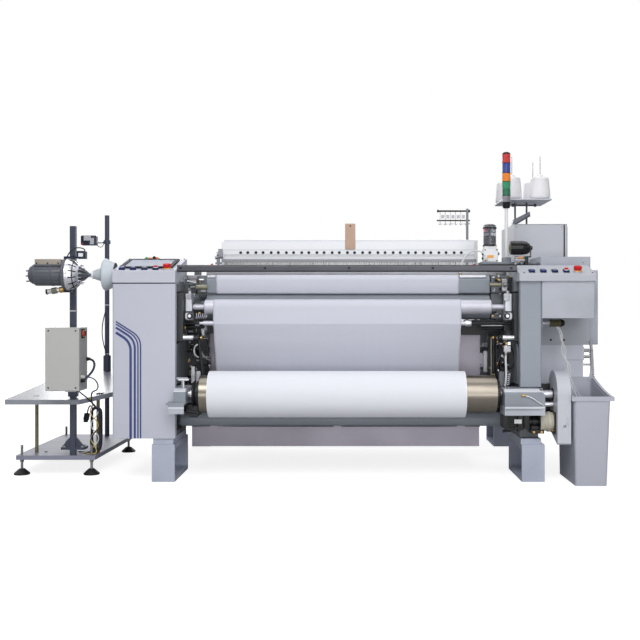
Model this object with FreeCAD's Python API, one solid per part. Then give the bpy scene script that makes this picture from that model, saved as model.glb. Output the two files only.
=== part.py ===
import FreeCAD, Part
import math
import os

from FreeCAD import Vector

# A single-width air-jet power loom with its weft feeder on a separate stand.
# Millimetres. X runs along the weft, Y from the weaver's side to the warp beam, Z up.
# Sizes below are taken from the floor, the front of the front feet and the middle of
# the machine; every solid is then moved so that the origin is on the floor under the
# middle of the whole machine.
machine_middle_x = -224.0
machine_middle_y = 827.5

# Side frames and covers
left_inner, left_outer = -876.0, -968.0
right_inner, right_outer = 857.0, 949.0
frame_front = 60.0
foot_height = 185.0
foot_width = 113.0
front_foot_depth = 400.0
rear_foot_start, rear_foot_end = 1234.0, 1565.0
right_rear_foot_offset = 45.0
anchor_hole_radius = 9.0
anchor_spacing = 180.0
pocket_depth = 38.0
sheet = 3.0
cover_bottom, cover_top = 215.0, 985.0
left_cover_outer, left_cover_inner = -1173.0, -861.0
right_column_inner, right_column_outer = 848.0, 954.0
right_console_outer = 1219.0

# Cloth path
cloth_left, cloth_right = -695.0, 575.0
cloth_height = 1036.0
cloth_thickness = 2.0
side_gap = 0.3
fell_y = 440.0
fell_gap = 0.4
breast_front, breast_back = 272.0, 430.0
breast_bottom = 938.0
breast_nose = 30.0
breast_lip = 8.0
take_up_y, take_up_z, take_up_radius = 295.0, 867.0, 65.0
press_radius = 38.0
press_y = take_up_y - take_up_radius - press_radius - cloth_thickness - 2 * side_gap - 0.1
guide_y, guide_z, guide_radius = 167.0, 784.0, 12.0
spreader_y, spreader_z, spreader_radius = 330.0, 335.0, 25.0
front_tube_y, front_tube_z, front_tube_radius = 235.0, 280.0, 25.0

# Cloth roll and its drive
roll_y, roll_z = 30.0, 433.0
winding_radius = 115.0
core_radius = 93.0
roll_shaft_radius = 20.0
tooth_module = 4.0
roll_teeth, pinion_teeth = 42, 26
gear_distance = tooth_module * (roll_teeth + pinion_teeth) / 2
motor_z = 299.0
motor_y = roll_y - math.sqrt(gear_distance ** 2 - (roll_z - motor_z) ** 2)
gear_start, gear_end = 1030.0, 1055.0
running_gap = 0.1

# Warp side
warp_beam_y, warp_beam_z = 1400.0, 560.0
flange_radius = 380.0
warp_radius = 290.0
back_roller_y, back_roller_z, back_roller_radius = 1560.0, 1000.0, 70.0
rocking_y, rocking_z, rocking_radius = 520.0, 520.0, 30.0
harness_front_y, harness_rear_y = 646.0, 678.0
harness_top, harness_rail_height = 1246.0, 92.0
dent_count = 40
dent_pitch = 31.75
first_dent = -679.0

# Weft feeder and its stand
feeder_y, feeder_z = 105.0, 1031.0
post_x, post_y, post_size = -1427.0, 215.0, 30.0
round_post_x, round_post_y = -1438.0, 960.0
tray_front_y, tray_back_y = 170.0, 1010.0
tray_front_z, tray_back_z = 391.0, 491.0
cable_radius = 3.5


# ---------------------------------------------------------------- shapes

axes = {"x": Vector(1, 0, 0), "y": Vector(0, 1, 0), "z": Vector(0, 0, 1)}


def on_plane(axis, a, b):
    """A point of the plane square to the axis: (y, z), (x, z) or (x, y)."""
    if axis == "x":
        return Vector(0, a, b)
    if axis == "y":
        return Vector(a, 0, b)
    return Vector(a, b, 0)


def outline(points, axis):
    """A closed wire through the points; a third value rounds that corner."""
    edges = []
    corners = []
    count = len(points)
    for i in range(count):
        here = on_plane(axis, points[i][0], points[i][1])
        radius = points[i][2] if len(points[i]) > 2 else 0.0
        if radius == 0.0:
            corners.append((here, here, None))
            continue
        before = on_plane(axis, points[i - 1][0], points[i - 1][1])
        after = on_plane(axis, points[(i + 1) % count][0], points[(i + 1) % count][1])
        to_before = (before - here).normalize()
        to_after = (after - here).normalize()
        half = to_before.getAngle(to_after) / 2
        reach = radius / math.tan(half)
        middle = (to_before + to_after).normalize() * (radius / math.sin(half) - radius)
        corners.append((here + to_before * reach, here + to_after * reach, here + middle))
    for i in range(count):
        start, end, middle = corners[i]
        if middle is not None:
            edges.append(Part.Arc(start, middle, end).toShape())
        following = corners[(i + 1) % count][0]
        if end.distanceToPoint(following) > 1e-6:
            edges.append(Part.LineSegment(end, following).toShape())
    return Part.Wire(edges)


def slab(points, axis, start, end):
    """The outline carried along its axis from start to end."""
    face = Part.Face(outline(points, axis))
    face.translate(axes[axis] * start)
    return face.extrude(axes[axis] * (end - start))


def box(x0, x1, y0, y1, z0, z1):
    return Part.makeBox(x1 - x0, y1 - y0, z1 - z0, Vector(x0, y0, z0))


def soft_box(x0, x1, y0, y1, z0, z1, radius, axis):
    """A box whose four edges along one axis are rounded."""
    spans = {"x": (y0, y1, z0, z1, x0, x1), "y": (x0, x1, z0, z1, y0, y1), "z": (x0, x1, y0, y1, z0, z1)}
    a0, a1, b0, b1, start, end = spans[axis]
    corners = [(a0, b0, radius), (a1, b0, radius), (a1, b1, radius), (a0, b1, radius)]
    return slab(corners, axis, start, end)


def rod(axis, start, end, a, b, radius, hole=0.0):
    """A round bar or tube along an axis, centred at a, b on the plane square to it."""
    base = on_plane(axis, a, b) + axes[axis] * start
    bar = Part.makeCylinder(radius, end - start, base, axes[axis])
    if hole == 0.0:
        return bar
    return bar.cut(Part.makeCylinder(hole, end - start, base, axes[axis]))


def turned(points, axis, a, b):
    """A turned piece: points are (place along the axis, radius)."""
    centre = on_plane(axis, a, b)
    side = {"x": Vector(0, 0, 1), "y": Vector(1, 0, 0), "z": Vector(1, 0, 0)}[axis]
    corners = [centre + axes[axis] * place + side * radius for place, radius in points]
    face = Part.Face(Part.makePolygon(corners + [corners[0]]))
    return face.revolve(centre, axes[axis], 360)


def hexagon(axis, start, end, a, b, across):
    """A hexagon nut or head, given its width across the flats."""
    corner = across / math.sqrt(3)
    points = []
    for i in range(6):
        angle = math.radians(60 * i)
        points.append((a + corner * math.cos(angle), b + corner * math.sin(angle)))
    return slab(points, axis, start, end)


def join(first, *others):
    return first.multiFuse(list(others)).removeSplitter()


def ribbon(stations, thickness, x0, x1):
    """A sheet that runs round rollers. Each station is (y, z, radius, turn): turn is 1
    where the sheet bends to its left round the centre, -1 to its right, 0 at an end."""
    edges = []
    ends = []
    for offset in (thickness / 2, -thickness / 2):
        path = ribbon_side(stations, offset)
        ends.append((path[0], path[1]))
        edges.extend(path[2])
    edges.append(Part.LineSegment(ends[0][0], ends[1][0]).toShape())
    edges.append(Part.LineSegment(ends[0][1], ends[1][1]).toShape())
    face = Part.Face(Part.Wire(Part.sortEdges(edges)[0]))
    face.translate(Vector(x0, 0, 0))
    return face.extrude(Vector(x1 - x0, 0, 0))


def ribbon_side(stations, offset):
    """First point, last point and edges of one side of a ribbon: tangent lines between
    circles whose signed radius is the station's radius times turn, less the offset."""
    touches = []
    for first, second in zip(stations, stations[1:]):
        from_radius = first[2] * first[3] - offset
        to_radius = second[2] * second[3] - offset
        dy, dz = second[0] - first[0], second[1] - first[1]
        heading = math.atan2(dz, dy) - math.asin((to_radius - from_radius) / math.hypot(dy, dz))
        left = (-math.sin(heading), math.cos(heading))
        touches.append((first[0] - from_radius * left[0], first[1] - from_radius * left[1],
                        second[0] - to_radius * left[0], second[1] - to_radius * left[1]))
    edges = []
    for i, (y0, z0, y1, z1) in enumerate(touches):
        edges.append(Part.LineSegment(Vector(0, y0, z0), Vector(0, y1, z1)).toShape())
        if i + 1 < len(touches):
            edges.extend(wrap(stations[i + 1], (y1, z1), touches[i + 1][:2]))
    start = Vector(0, touches[0][0], touches[0][1])
    end = Vector(0, touches[-1][2], touches[-1][3])
    return start, end, edges


def wrap(station, arrive, leave):
    """The arc round one station from arrive to leave, in its turning direction."""
    centre_y, centre_z, turn = station[0], station[1], station[3]
    start = math.atan2(arrive[1] - centre_z, arrive[0] - centre_y)
    end = math.atan2(leave[1] - centre_z, leave[0] - centre_y)
    sweep = (end - start) % (2 * math.pi) if turn > 0 else -((start - end) % (2 * math.pi))
    radius = math.hypot(arrive[0] - centre_y, arrive[1] - centre_z)
    middle = start + sweep / 2
    halfway = Vector(0, centre_y + radius * math.cos(middle), centre_z + radius * math.sin(middle))
    return [Part.Arc(Vector(0, *arrive), halfway, Vector(0, *leave)).toShape()]


pieces = {}


# ---------------------------------------------------------------- side frames

def frame_bores():
    """Place and radius of every bearing in a side frame, with its boss."""
    return [(take_up_y, take_up_z, 22.0, 45.0), (rocking_y, rocking_z, rocking_radius, 58.0),
            (warp_beam_y, warp_beam_z, 32.0, 80.0), (back_roller_y, back_roller_z, 22.0, 48.0)]


def side_frame(inner, outer, rear_offset):
    """A cast frame: rimmed web with windows and bosses on two hollow feet."""
    low, high = min(inner, outer), max(inner, outer)
    side = 1 if outer > inner else -1
    body = slab([(frame_front, 200), (frame_front, 972, 15), (430, 972, 30), (500, 925, 30),
                 (900, 925, 40), (990, 850, 40), (1300, 850, 60), (1470, 1070, 25),
                 (1650, 1070, 25), (1650, 930, 40), (1565, 800, 60), (rear_foot_end, 200),
                 (rear_foot_start, 200), (1150, 330, 90), (480, 330, 90),
                 (front_foot_depth, 200)], "x", low, high)
    pockets = [[(90, 235, 20), (90, 942, 20), (410, 942, 20), (455, 890, 20), (455, 360, 40), (375, 235, 20)],
               [(490, 365, 30), (490, 890, 30), (800, 890, 30), (800, 365, 30)],
               [(835, 365, 30), (835, 890, 30), (890, 890, 20), (975, 815, 30), (1130, 815, 30), (1130, 365, 30)],
               [(1165, 370, 30), (1165, 815, 30), (1290, 815, 50), (1480, 1035, 20), (1615, 1035, 20),
                (1615, 945, 30), (1530, 815, 60), (1530, 235, 20), (1260, 235, 20)]]
    for points in pockets:
        body = body.cut(slab(points, "x", low - 1, low + pocket_depth))
        body = body.cut(slab(points, "x", high - pocket_depth, high + 1))
    for y, z, radius, boss in frame_bores():
        body = body.fuse(rod("x", low, high, y, z, boss))
    windows = [(150, 380, 500, 740), (580, 770, 590, 850), (880, 1090, 430, 700)]
    for y0, y1, z0, z1 in windows:
        body = body.cut(soft_box(low - 1, high + 1, y0, y1, z0, z1, 35, "x"))
    feet = foot(inner, side, 0.0, front_foot_depth)
    step = box(low - 4, high + 4, 8, front_foot_depth - 8, foot_height, 214)
    feet = feet.fuse(step)
    rear = foot(inner + side * rear_offset, side, rear_foot_start, rear_foot_end)
    rear_step = box(low, high, rear_foot_start + 8, rear_foot_end - 8, foot_height - 1, 214)
    body = join(body, feet, rear, rear_step)
    for y, z, radius, boss in frame_bores():
        body = body.cut(rod("x", low - 1, high + 1, y, z, radius + running_gap))
    return body


def foot(inner, side, y0, y1):
    """A hollow foot block, open on its inner side, with anchor holes."""
    near = inner + 12 if side < 0 else inner
    far = near + side * foot_width
    low, high = min(near, far), max(near, far)
    block = box(low, high, y0, y1, 0, foot_height)
    bay_depth = 78.0
    wall = 24.0
    middle = (y0 + y1) / 2
    bay = soft_box(min(near - side, near + side * bay_depth), max(near - side, near + side * bay_depth),
                   y0 + wall, y1 - wall, 22, foot_height - 24, 14, "x")
    block = block.cut(bay)
    for y in (middle - anchor_spacing / 2, middle + anchor_spacing / 2):
        block = block.cut(rod("z", -1, 30, near + side * 40, y, anchor_hole_radius))
    return block


pieces["side_frame_left"] = side_frame(left_inner, left_outer, 0.0)
pieces["side_frame_right"] = side_frame(right_inner, right_outer, right_rear_foot_offset)


# ---------------------------------------------------------------- beams between the frames

def cross_beams():
    """Front tube, rear and middle box beams, the breast beam's lugs and the lamp shelf."""
    front = rod("x", left_inner, right_inner, front_tube_y, front_tube_z, front_tube_radius, 20)
    wall = 6.0
    beams = [front]
    for y0, y1, z0, z1 in ((930, 1000, 240, 360), (800, 880, 560, 640)):
        tube = box(left_inner, right_inner, y0, y1, z0, z1)
        hollow = box(left_inner, right_inner, y0 + wall, y1 - wall, z0 + wall, z1 - wall)
        beams.append(tube.cut(hollow))
    for start, end in ((left_inner, -744), (736, right_inner)):
        beams.append(soft_box(start, end, 356, 416, 950, 1000, 8, "x"))
    shelf = soft_box(700, 1000, 320, 470, 1096, 1106, 15, "z")
    upright = box(862, 944, 342, 425, 972, 1097)
    beams.append(shelf.fuse(upright))
    return Part.makeCompound(beams)


pieces["cross_beams"] = cross_beams()

guide_bar = join(rod("x", -746, 601, guide_y, guide_z, guide_radius),
                 rod("x", -838, -740, guide_y, guide_z, 7), rod("x", 595, 834, guide_y, guide_z, 7))
spreader_bar = rod("x", left_inner, right_inner, spreader_y, spreader_z, spreader_radius)
pieces["guide_bars"] = Part.makeCompound([guide_bar, spreader_bar])


def breast_beam():
    """A hollow beam with a rounded nose that the cloth slides over."""
    top = cloth_height - cloth_thickness / 2 - side_gap
    shape = slab([(breast_front, breast_bottom, breast_lip), (breast_front, top, breast_nose),
                  (breast_back, top, 4), (breast_back, breast_bottom + 40, 4),
                  (breast_back - 90, breast_bottom, 4)], "x", -744, 736)
    wall = 9.0
    hollow = slab([(breast_front + wall, breast_bottom + wall), (breast_front + wall, top - wall, 18),
                   (breast_back - wall, top - wall), (breast_back - wall, breast_bottom + 46),
                   (breast_back - 92, breast_bottom + wall)], "x", -740, 732)
    return shape.cut(hollow)


pieces["breast_beam"] = breast_beam()

pieces["hand_rail"] = soft_box(-861, 842, 50, 90, 1043, 1078, 9, "x").cut(
    soft_box(-861, 842, 53, 87, 1046, 1075, 6, "x"))


# ---------------------------------------------------------------- covers and consoles

def left_cover():
    """A folded cover: front wall, outer side to the rear, and a top under the console."""
    back = 1150.0
    plan = [(left_cover_outer, 0, 10), (left_cover_inner, 0, 6), (left_cover_inner, 40),
            (left_cover_inner - sheet, 40), (left_cover_inner - sheet, sheet, 3),
            (left_cover_outer + sheet, sheet, 7), (left_cover_outer + sheet, back - sheet),
            (left_outer, back - sheet), (left_outer, back), (left_cover_outer, back, 6)]
    wall = slab(plan, "z", cover_bottom, cover_top)
    top = [(left_cover_outer, 0, 10), (left_cover_inner, 0, 6), (left_cover_inner, 350),
           (left_outer, 350), (left_outer, back), (left_cover_outer, back, 6)]
    return join(wall, slab(top, "z", cover_top - sheet, cover_top))


def tilted(shape, point, slope):
    """Lean a piece made on the Z axis with a console's slope and put it at the point."""
    moved = shape.copy()
    moved.rotate(Vector(0, 0, 0), Vector(1, 0, 0), slope)
    moved.translate(point)
    return moved


left_slope = math.degrees(math.atan2(1120 - 1048, 325))
right_slope = math.degrees(math.atan2(1080 - 1030, 170))
button_radius = 12.0
stop_radius = 20.0
button_clearance = 0.4
left_button_x = (-1130.0, -1074.0, -1018.0, -962.0)
right_button_x = (909.0, 966.0, 1023.0, 1080.0)
left_stop_x, right_stop_x = -906.0, 1137.0
left_button_y, right_button_y = 26.0, 20.0


def left_slope_point(x, y):
    return Vector(x, y, 1048 + y * math.tan(math.radians(left_slope)))


def right_slope_point(x, y):
    return Vector(x, y, 1030 + (y + 20) * math.tan(math.radians(right_slope)))


def with_button_rings(console, places, stop_place, slope):
    """Raised rings round the buttons, each with a blind hole for its plunger."""
    rings = []
    holes = []
    for point in places:
        rings.append(tilted(rod("z", -2, 4, 0, 0, button_radius + 4), point, slope))
        holes.append(tilted(rod("z", -10, 5, 0, 0, button_radius + button_clearance), point, slope))
    rings.append(tilted(rod("z", -2, 5, 0, 0, stop_radius + 3), stop_place, slope))
    holes.append(tilted(rod("z", -16, 6, 0, 0, 9 + button_clearance), stop_place, slope))
    return join(console, *rings).cut(Part.makeCompound(holes))


def left_console():
    """The sloping desk on the left cover, with the touch panel's raised frame."""
    body = slab([(0, cover_top + 3), (0, 1048, 6), (325, 1120, 8), (350, 1120, 4), (350, cover_top + 3)],
                "x", left_cover_outer, left_cover_inner)
    foot_plate = box(left_cover_outer + 6, left_cover_inner - 6, 6, 344, cover_top, cover_top + 3)
    bezel = soft_box(-132, 132, 0, 240, -2, 9, 12, "z").cut(soft_box(-112, 112, 18, 222, 6, 10, 4, "z"))
    panel = tilted(bezel, left_slope_point(-1018, 48), left_slope)
    console = join(body, foot_plate, panel)
    places = [left_slope_point(x, left_button_y) for x in left_button_x]
    stop = left_slope_point(left_stop_x, left_button_y)
    return with_button_rings(console, places, stop, left_slope)


def right_console():
    """The lower desk at the right, over the column and the side cover."""
    body = slab([(-20, 996), (-20, 1030, 5), (150, 1080, 8), (300, 1080, 6), (300, 996)],
                "x", 842, right_console_outer)
    places = [right_slope_point(x, right_button_y) for x in right_button_x]
    stop = right_slope_point(right_stop_x, right_button_y)
    return with_button_rings(body, places, stop, right_slope)


pieces["left_cover"] = left_cover()
pieces["left_console"] = left_console()
pieces["right_console"] = right_console()


def right_column_cover():
    """A channel over the front of the right frame."""
    plan = [(right_column_inner, 0, 6), (right_column_outer, 0, 6), (right_column_outer, 340),
            (right_column_outer - sheet, 340), (right_column_outer - sheet, sheet, 3),
            (right_column_inner + sheet, sheet, 3), (right_column_inner + sheet, 40),
            (right_column_inner, 40)]
    wall = slab(plan, "z", 471, 996)
    cap = box(right_column_inner, right_column_outer, 0, 330, 993, 996)
    ties = box(right_outer, right_column_outer - sheet, 200, 240, 600, 640)
    return join(wall, cap, ties)


pieces["right_column_cover"] = right_column_cover()


def shelled(x0, x1, y0, y1, z0, z1):
    """A sheet-metal box with its bottom left open."""
    outer = soft_box(x0, x1, y0, y1, z0, z1, 8, "z")
    return outer.cut(box(x0 + sheet, x1 - sheet, y0 + sheet, y1 - sheet, z0 - 1, z1 - sheet))


def right_side_cover():
    """Front and rear boxes, the outer bulge, the end plate and the selvage waste roller."""
    front = shelled(954, right_console_outer, -8, 300, 812, 996)
    rear = shelled(1007, 1272, 300, 597, 668, 1132)
    bulge = soft_box(1270, 1318, 330, 560, 668, 1063, 8, "x")
    end_plate = box(955, 1226, 274, 277, 380, 830)
    bracket = box(right_column_outer, 962, 236, 275, 520, 780)
    waste_roller = rod("x", 965, 1075, 92, 787, 12)
    roller_arm = box(962, 978, 80, 275, 765, 830)
    strut = box(right_outer, 1010, 420, 480, 700, 760)
    return Part.makeCompound([join(front, rear, bulge, end_plate, bracket, strut, waste_roller, roller_arm)])


pieces["right_side_cover"] = right_side_cover()


# ---------------------------------------------------------------- control cabinet

cabinet_x0, cabinet_x1 = 922.0, 1216.0
cabinet_y0, cabinet_y1 = 600.0, 1060.0
cabinet_z0, cabinet_z1 = 940.0, 1330.0
door_gap = 0.6
hinge_x, hinge_y = cabinet_x1 + 8, cabinet_y1 - 6
hinge_radius, hinge_pin_radius = 5.0, 2.5
hinge_bottoms = (960.0, 1210.0)
knuckle_length = 40.0


def control_cabinet():
    """A box open on its outer side, with a folded rim, on two rails on the frame."""
    outer = soft_box(cabinet_x0, cabinet_x1, cabinet_y0, cabinet_y1, cabinet_z0, cabinet_z1, 6, "z")
    inside = box(cabinet_x0 + sheet, cabinet_x1 - 20, cabinet_y0 + sheet, cabinet_y1 - sheet,
                 cabinet_z0 + sheet, cabinet_z1 - sheet)
    mouth = box(cabinet_x1 - 21, cabinet_x1 + 1, cabinet_y0 + 22, cabinet_y1 - 22,
                cabinet_z0 + 22, cabinet_z1 - 22)
    rail = box(cabinet_x0, right_outer, 620, 880, 925, cabinet_z0)
    parts = [rail]
    for z in hinge_bottoms:
        parts.append(box(cabinet_x1 - 2, hinge_x, hinge_y - 2, hinge_y + 4, z, z + knuckle_length))
        parts.append(rod("z", z, z + knuckle_length, hinge_x, hinge_y, hinge_radius))
        parts.append(rod("z", z, z + 2 * knuckle_length, hinge_x, hinge_y, hinge_pin_radius))
    return join(outer.cut(inside).cut(mouth), *parts)


pieces["control_cabinet"] = control_cabinet()
door = soft_box(cabinet_x1 + door_gap, cabinet_x1 + 5, cabinet_y0 + 12, cabinet_y1 - 12,
                cabinet_z0 + 12, cabinet_z1 - 12, 8, "x")
door_lock = rod("x", cabinet_x1 + 5, cabinet_x1 + 12, cabinet_y0 + 50, 1135, 14)
door_parts = [door_lock]
for z in hinge_bottoms:
    start = z + knuckle_length + 0.3
    end = z + 2 * knuckle_length
    door_parts.append(box(cabinet_x1 + 1.5, cabinet_x1 + 5, cabinet_y1 - 20, hinge_y + 2, start, end))
    door_parts.append(rod("z", start, end, hinge_x, hinge_y, hinge_radius))
door = join(door, *door_parts)
pieces["cabinet_door"] = door.cut(rod("z", cabinet_z0, cabinet_z1, hinge_x, hinge_y, hinge_pin_radius + running_gap))


# ---------------------------------------------------------------- rollers and their brackets

def roller(barrel_start, barrel_end, shaft_start, shaft_end, y, z, radius, shaft_radius):
    """A roller turned with a small chamfer at each end of its barrel."""
    chamfer = 3.0
    return turned([(shaft_start, 0), (shaft_start, shaft_radius), (barrel_start, shaft_radius),
                   (barrel_start, radius - chamfer), (barrel_start + chamfer, radius),
                   (barrel_end - chamfer, radius), (barrel_end, radius - chamfer),
                   (barrel_end, shaft_radius), (shaft_end, shaft_radius), (shaft_end, 0)], "x", y, z)


pieces["take_up_roller"] = roller(-744, 736, left_outer + 4, right_outer - 4,
                                  take_up_y, take_up_z, take_up_radius, 22)
pieces["press_roller"] = roller(-742, 731, -836, 832, press_y, take_up_z, press_radius, 14)
pieces["back_roller"] = roller(-712, 600, left_outer + 4, right_outer - 4,
                               back_roller_y, back_roller_z, back_roller_radius, 22)


def roller_bracket(plate_start, plate_end, block_start, block_end, tube_start, tube_end):
    """One side: the arm plate, the silver bearing block, its clamp nut and a short tube."""
    plate = slab([(85, 690, 8), (85, 940, 12), (340, 940, 12), (340, 800, 20), (150, 755, 20),
                  (130, 690, 8)], "x", plate_start, plate_end)
    plate = plate.cut(rod("x", plate_start - 1, plate_end + 1, take_up_y, take_up_z, 32))
    block = slab([(140, 800, 6), (140, 936, 12), (222, 936, 12), (222, 800, 6)], "x", block_start, block_end)
    middle = (block_start + block_end) / 2
    nut = hexagon("y", 122, 140, middle, 821, 30)
    screw = rod("y", 112, 122, middle, 821, 8)
    cap = rod("z", 936, 950, middle, 181, 9)
    tube = rod("x", tube_start, tube_end, 100, 712, 12)
    bracket = join(plate, block, nut, screw, cap, tube)
    return bracket.cut(rod("x", block_start - 1, block_end + 1, press_y, take_up_z, 14 + running_gap))


pieces["roller_brackets"] = Part.makeCompound([
    roller_bracket(834, right_inner, 798, 834, 773, 834),
    roller_bracket(left_inner, -838, -838, -802, -838, -785)])


def roll_brackets():
    """The two housings that hold the cloth roll's shaft in front of the frames."""
    right = slab([(758, 339), (954, 339), (954, 440), (930, 465), (758, 465, 6)], "y", -90, frame_front)
    right = right.cut(slab([(-91, 440), (-91, 466), (-60, 466)], "x", 757, 955))
    lip = box(758, 940, -100, -90, 372, 387)
    right_block = box(800, right_inner, frame_front - 1, 160, 345, 460)
    right = join(right, lip, right_block)
    left = slab([(-60, 392), (-60, 455, 8), (-30, 466, 8), (frame_front, 466), (frame_front, 392)],
                "x", -858, -800)
    shelf = box(-887, -797, -110, -20, 392, 401)
    shelf_front = box(-877, -800, -110, -104, 348, 392)
    rib = slab([(-104, 392), (-104, 352), (-60, 392)], "x", -845, -839)
    left_block = box(left_inner, -800, frame_front, 180, 385, 466)
    clamp_post = rod("z", 460, 512, -828, 10, 4)
    clamp_bar = rod("x", -856, -800, 10, 512, 5)
    left = join(left, shelf, shelf_front, rib, left_block, clamp_post, clamp_bar)
    bore = rod("x", -900, 960, roll_y, roll_z, roll_shaft_radius + running_gap)
    return Part.makeCompound([left.cut(bore), right.cut(bore)])


pieces["roll_brackets"] = roll_brackets()


def gear(teeth, phase, y, z):
    """A spur gear: each tooth is a straight-sided tip and root on the pitch circle."""
    pitch_radius = tooth_module * teeth / 2
    root, tip = pitch_radius - 1.25 * tooth_module, pitch_radius + 0.9 * tooth_module
    root_half, tip_half = 0.30, 0.125
    points = []
    for i in range(teeth):
        for radius, share in ((root, -root_half), (tip, -tip_half), (tip, tip_half), (root, root_half)):
            angle = phase + 2 * math.pi * (i + share) / teeth
            points.append((y + radius * math.cos(angle), z + radius * math.sin(angle)))
    return slab(points, "x", gear_start, gear_end)


def roll_core():
    """The cloth roll's tube on its shaft, with chuck discs and the drive gear."""
    towards_pinion = math.atan2(motor_z - roll_z, motor_y - roll_y)
    tube = rod("x", -740, 727, roll_y, roll_z, core_radius, core_radius - 6)
    shaft = turned([(-856, 0), (-856, 17), (-852, roll_shaft_radius), (-768, roll_shaft_radius),
                    (-768, 50), (-756, 50), (-756, 64), (-743, 64), (-743, core_radius - 6),
                    (-728, core_radius - 6), (-728, roll_shaft_radius), (715, roll_shaft_radius),
                    (715, core_radius - 6), (730, core_radius - 6), (730, 66), (748, 66),
                    (748, roll_shaft_radius), (1062, roll_shaft_radius), (1062, 0)],
                   "x", roll_y, roll_z)
    return join(tube, shaft, gear(roll_teeth, towards_pinion, roll_y, roll_z))


def drive_pinion():
    """The pinion on the gearbox's output shaft, with a tooth gap facing the big gear."""
    towards_roll = math.atan2(roll_z - motor_z, roll_y - motor_y)
    half_tooth = math.pi / pinion_teeth
    shaft = rod("x", 1000, 1062, motor_y, motor_z, 12)
    return join(gear(pinion_teeth, towards_roll + half_tooth, motor_y, motor_z), shaft)


pieces["roll_core"] = roll_core()
pieces["drive_pinion"] = drive_pinion()
pieces["cloth_winding"] = rod("x", cloth_left, cloth_right, roll_y, roll_z, winding_radius, core_radius)


def take_up_motor():
    """The motor under the right bracket, its coupling and the round gearbox."""
    half = 40.0
    motor = soft_box(762, 892, motor_y - half, motor_y + half, motor_z - half, motor_z + half, 14, "x")
    terminal = box(780, 830, motor_y - half - 14, motor_y - half, motor_z - 20, motor_z + 20)
    coupling = rod("x", 892, 956, motor_y, motor_z, 27)
    gearbox = turned([(956, 0), (956, 42), (964, 50), (1008, 50), (1016, 44), (1016, 0)], "x", motor_y, motor_z)
    drive = join(motor, terminal, coupling, gearbox)
    return drive.cut(rod("x", 998, 1017, motor_y, motor_z, 12 + running_gap))


pieces["take_up_motor"] = take_up_motor()


def gear_guard():
    """A sheet-metal guard with a round top over the roll gear and pinion."""
    front, back = roll_y - 112.0, roll_y + 112.0
    crown = 112.0
    outer = slab([(front, 192, 10), (front, roll_z + 7 + crown, crown - 1), (back, roll_z + 7 + crown, crown - 1),
                  (back, 262, 10)], "x", 1016, 1082)
    wall = 2.0
    inner = slab([(front + wall, 196, 8), (front + wall, roll_z + 7 + crown - wall, crown - 3),
                  (back - wall, roll_z + 7 + crown - wall, crown - 3), (back - wall, 264, 8)],
                 "x", 1016 + wall, 1082 - wall)
    guard = outer.cut(inner)
    guard = guard.cut(rod("x", 1015, 1019, roll_y, roll_z, 24))
    guard = guard.cut(rod("x", 1015, 1019, motor_y, motor_z, 14))
    latch = box(1060, 1072, front - 5, front, 300, 330)
    return join(guard, latch)


pieces["gear_guard"] = gear_guard()


# ---------------------------------------------------------------- cloth and warp

half_cloth = cloth_thickness / 2 + side_gap
cloth_path = [(fell_y, cloth_height, 0.0, 0),
              (breast_front + breast_nose, cloth_height - half_cloth - breast_nose, breast_nose + half_cloth, 1),
              (breast_front + breast_lip, breast_bottom + breast_lip, breast_lip + half_cloth, 1),
              (take_up_y, take_up_z, take_up_radius + half_cloth, -1),
              (press_y, take_up_z, press_radius + half_cloth, 1),
              (guide_y, guide_z, guide_radius + half_cloth, 1),
              (spreader_y, spreader_z, spreader_radius + half_cloth, -1),
              (roll_y, roll_z, winding_radius + half_cloth, -1)]
pieces["cloth_web"] = ribbon(cloth_path, cloth_thickness, cloth_left, cloth_right)


def warp_sheet():
    """The warp from the fell over the back roller to the beam, slit where the reed's
    dents and the heddles stand between its ends."""
    path = [(fell_y + fell_gap, cloth_height, 0.0, 0),
            (back_roller_y, back_roller_z, back_roller_radius + half_cloth, -1),
            (warp_beam_y, warp_beam_z, warp_radius + half_cloth, -1)]
    warp = ribbon(path, cloth_thickness, cloth_left, cloth_right)
    slits = []
    for i in range(dent_count):
        x = first_dent + i * dent_pitch
        slits.append(box(x - 2, x + 2, 455, 705, 1025, 1060))
    return warp.cut(Part.makeCompound(slits))


pieces["warp_sheet"] = warp_sheet()


def warp_beam():
    """The beam's tube, shaft and two dished flanges."""
    shaft = rod("x", left_outer + 4, right_outer - 4, warp_beam_y, warp_beam_z, 32)
    tube = rod("x", -712, 592, warp_beam_y, warp_beam_z, 75)
    flanges = []
    for face, out in ((cloth_left - 2, -1), (cloth_right + 2, 1)):
        flange = turned([(face, 70), (face, flange_radius), (face + out * 18, flange_radius),
                         (face + out * 18, flange_radius - 16), (face + out * 9, flange_radius - 20),
                         (face + out * 9, 150), (face + out * 22, 120), (face + out * 22, 70)],
                        "x", warp_beam_y, warp_beam_z)
        start, end = sorted((face + out * 5, face + out * 22))
        for i in range(6):
            angle = math.radians(60 * i)
            y = warp_beam_y + 250 * math.cos(angle)
            z = warp_beam_z + 250 * math.sin(angle)
            flange = flange.fuse(soft_box(start, end, y - 10, y + 10, z - 10, z + 10, 9, "x"))
        flanges.append(flange)
    return join(shaft, tube, *flanges)


pieces["warp_beam"] = warp_beam()
pieces["warp_winding"] = rod("x", cloth_left, cloth_right, warp_beam_y, warp_beam_z, warp_radius, 75)


# ---------------------------------------------------------------- sley, reed and harness

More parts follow.
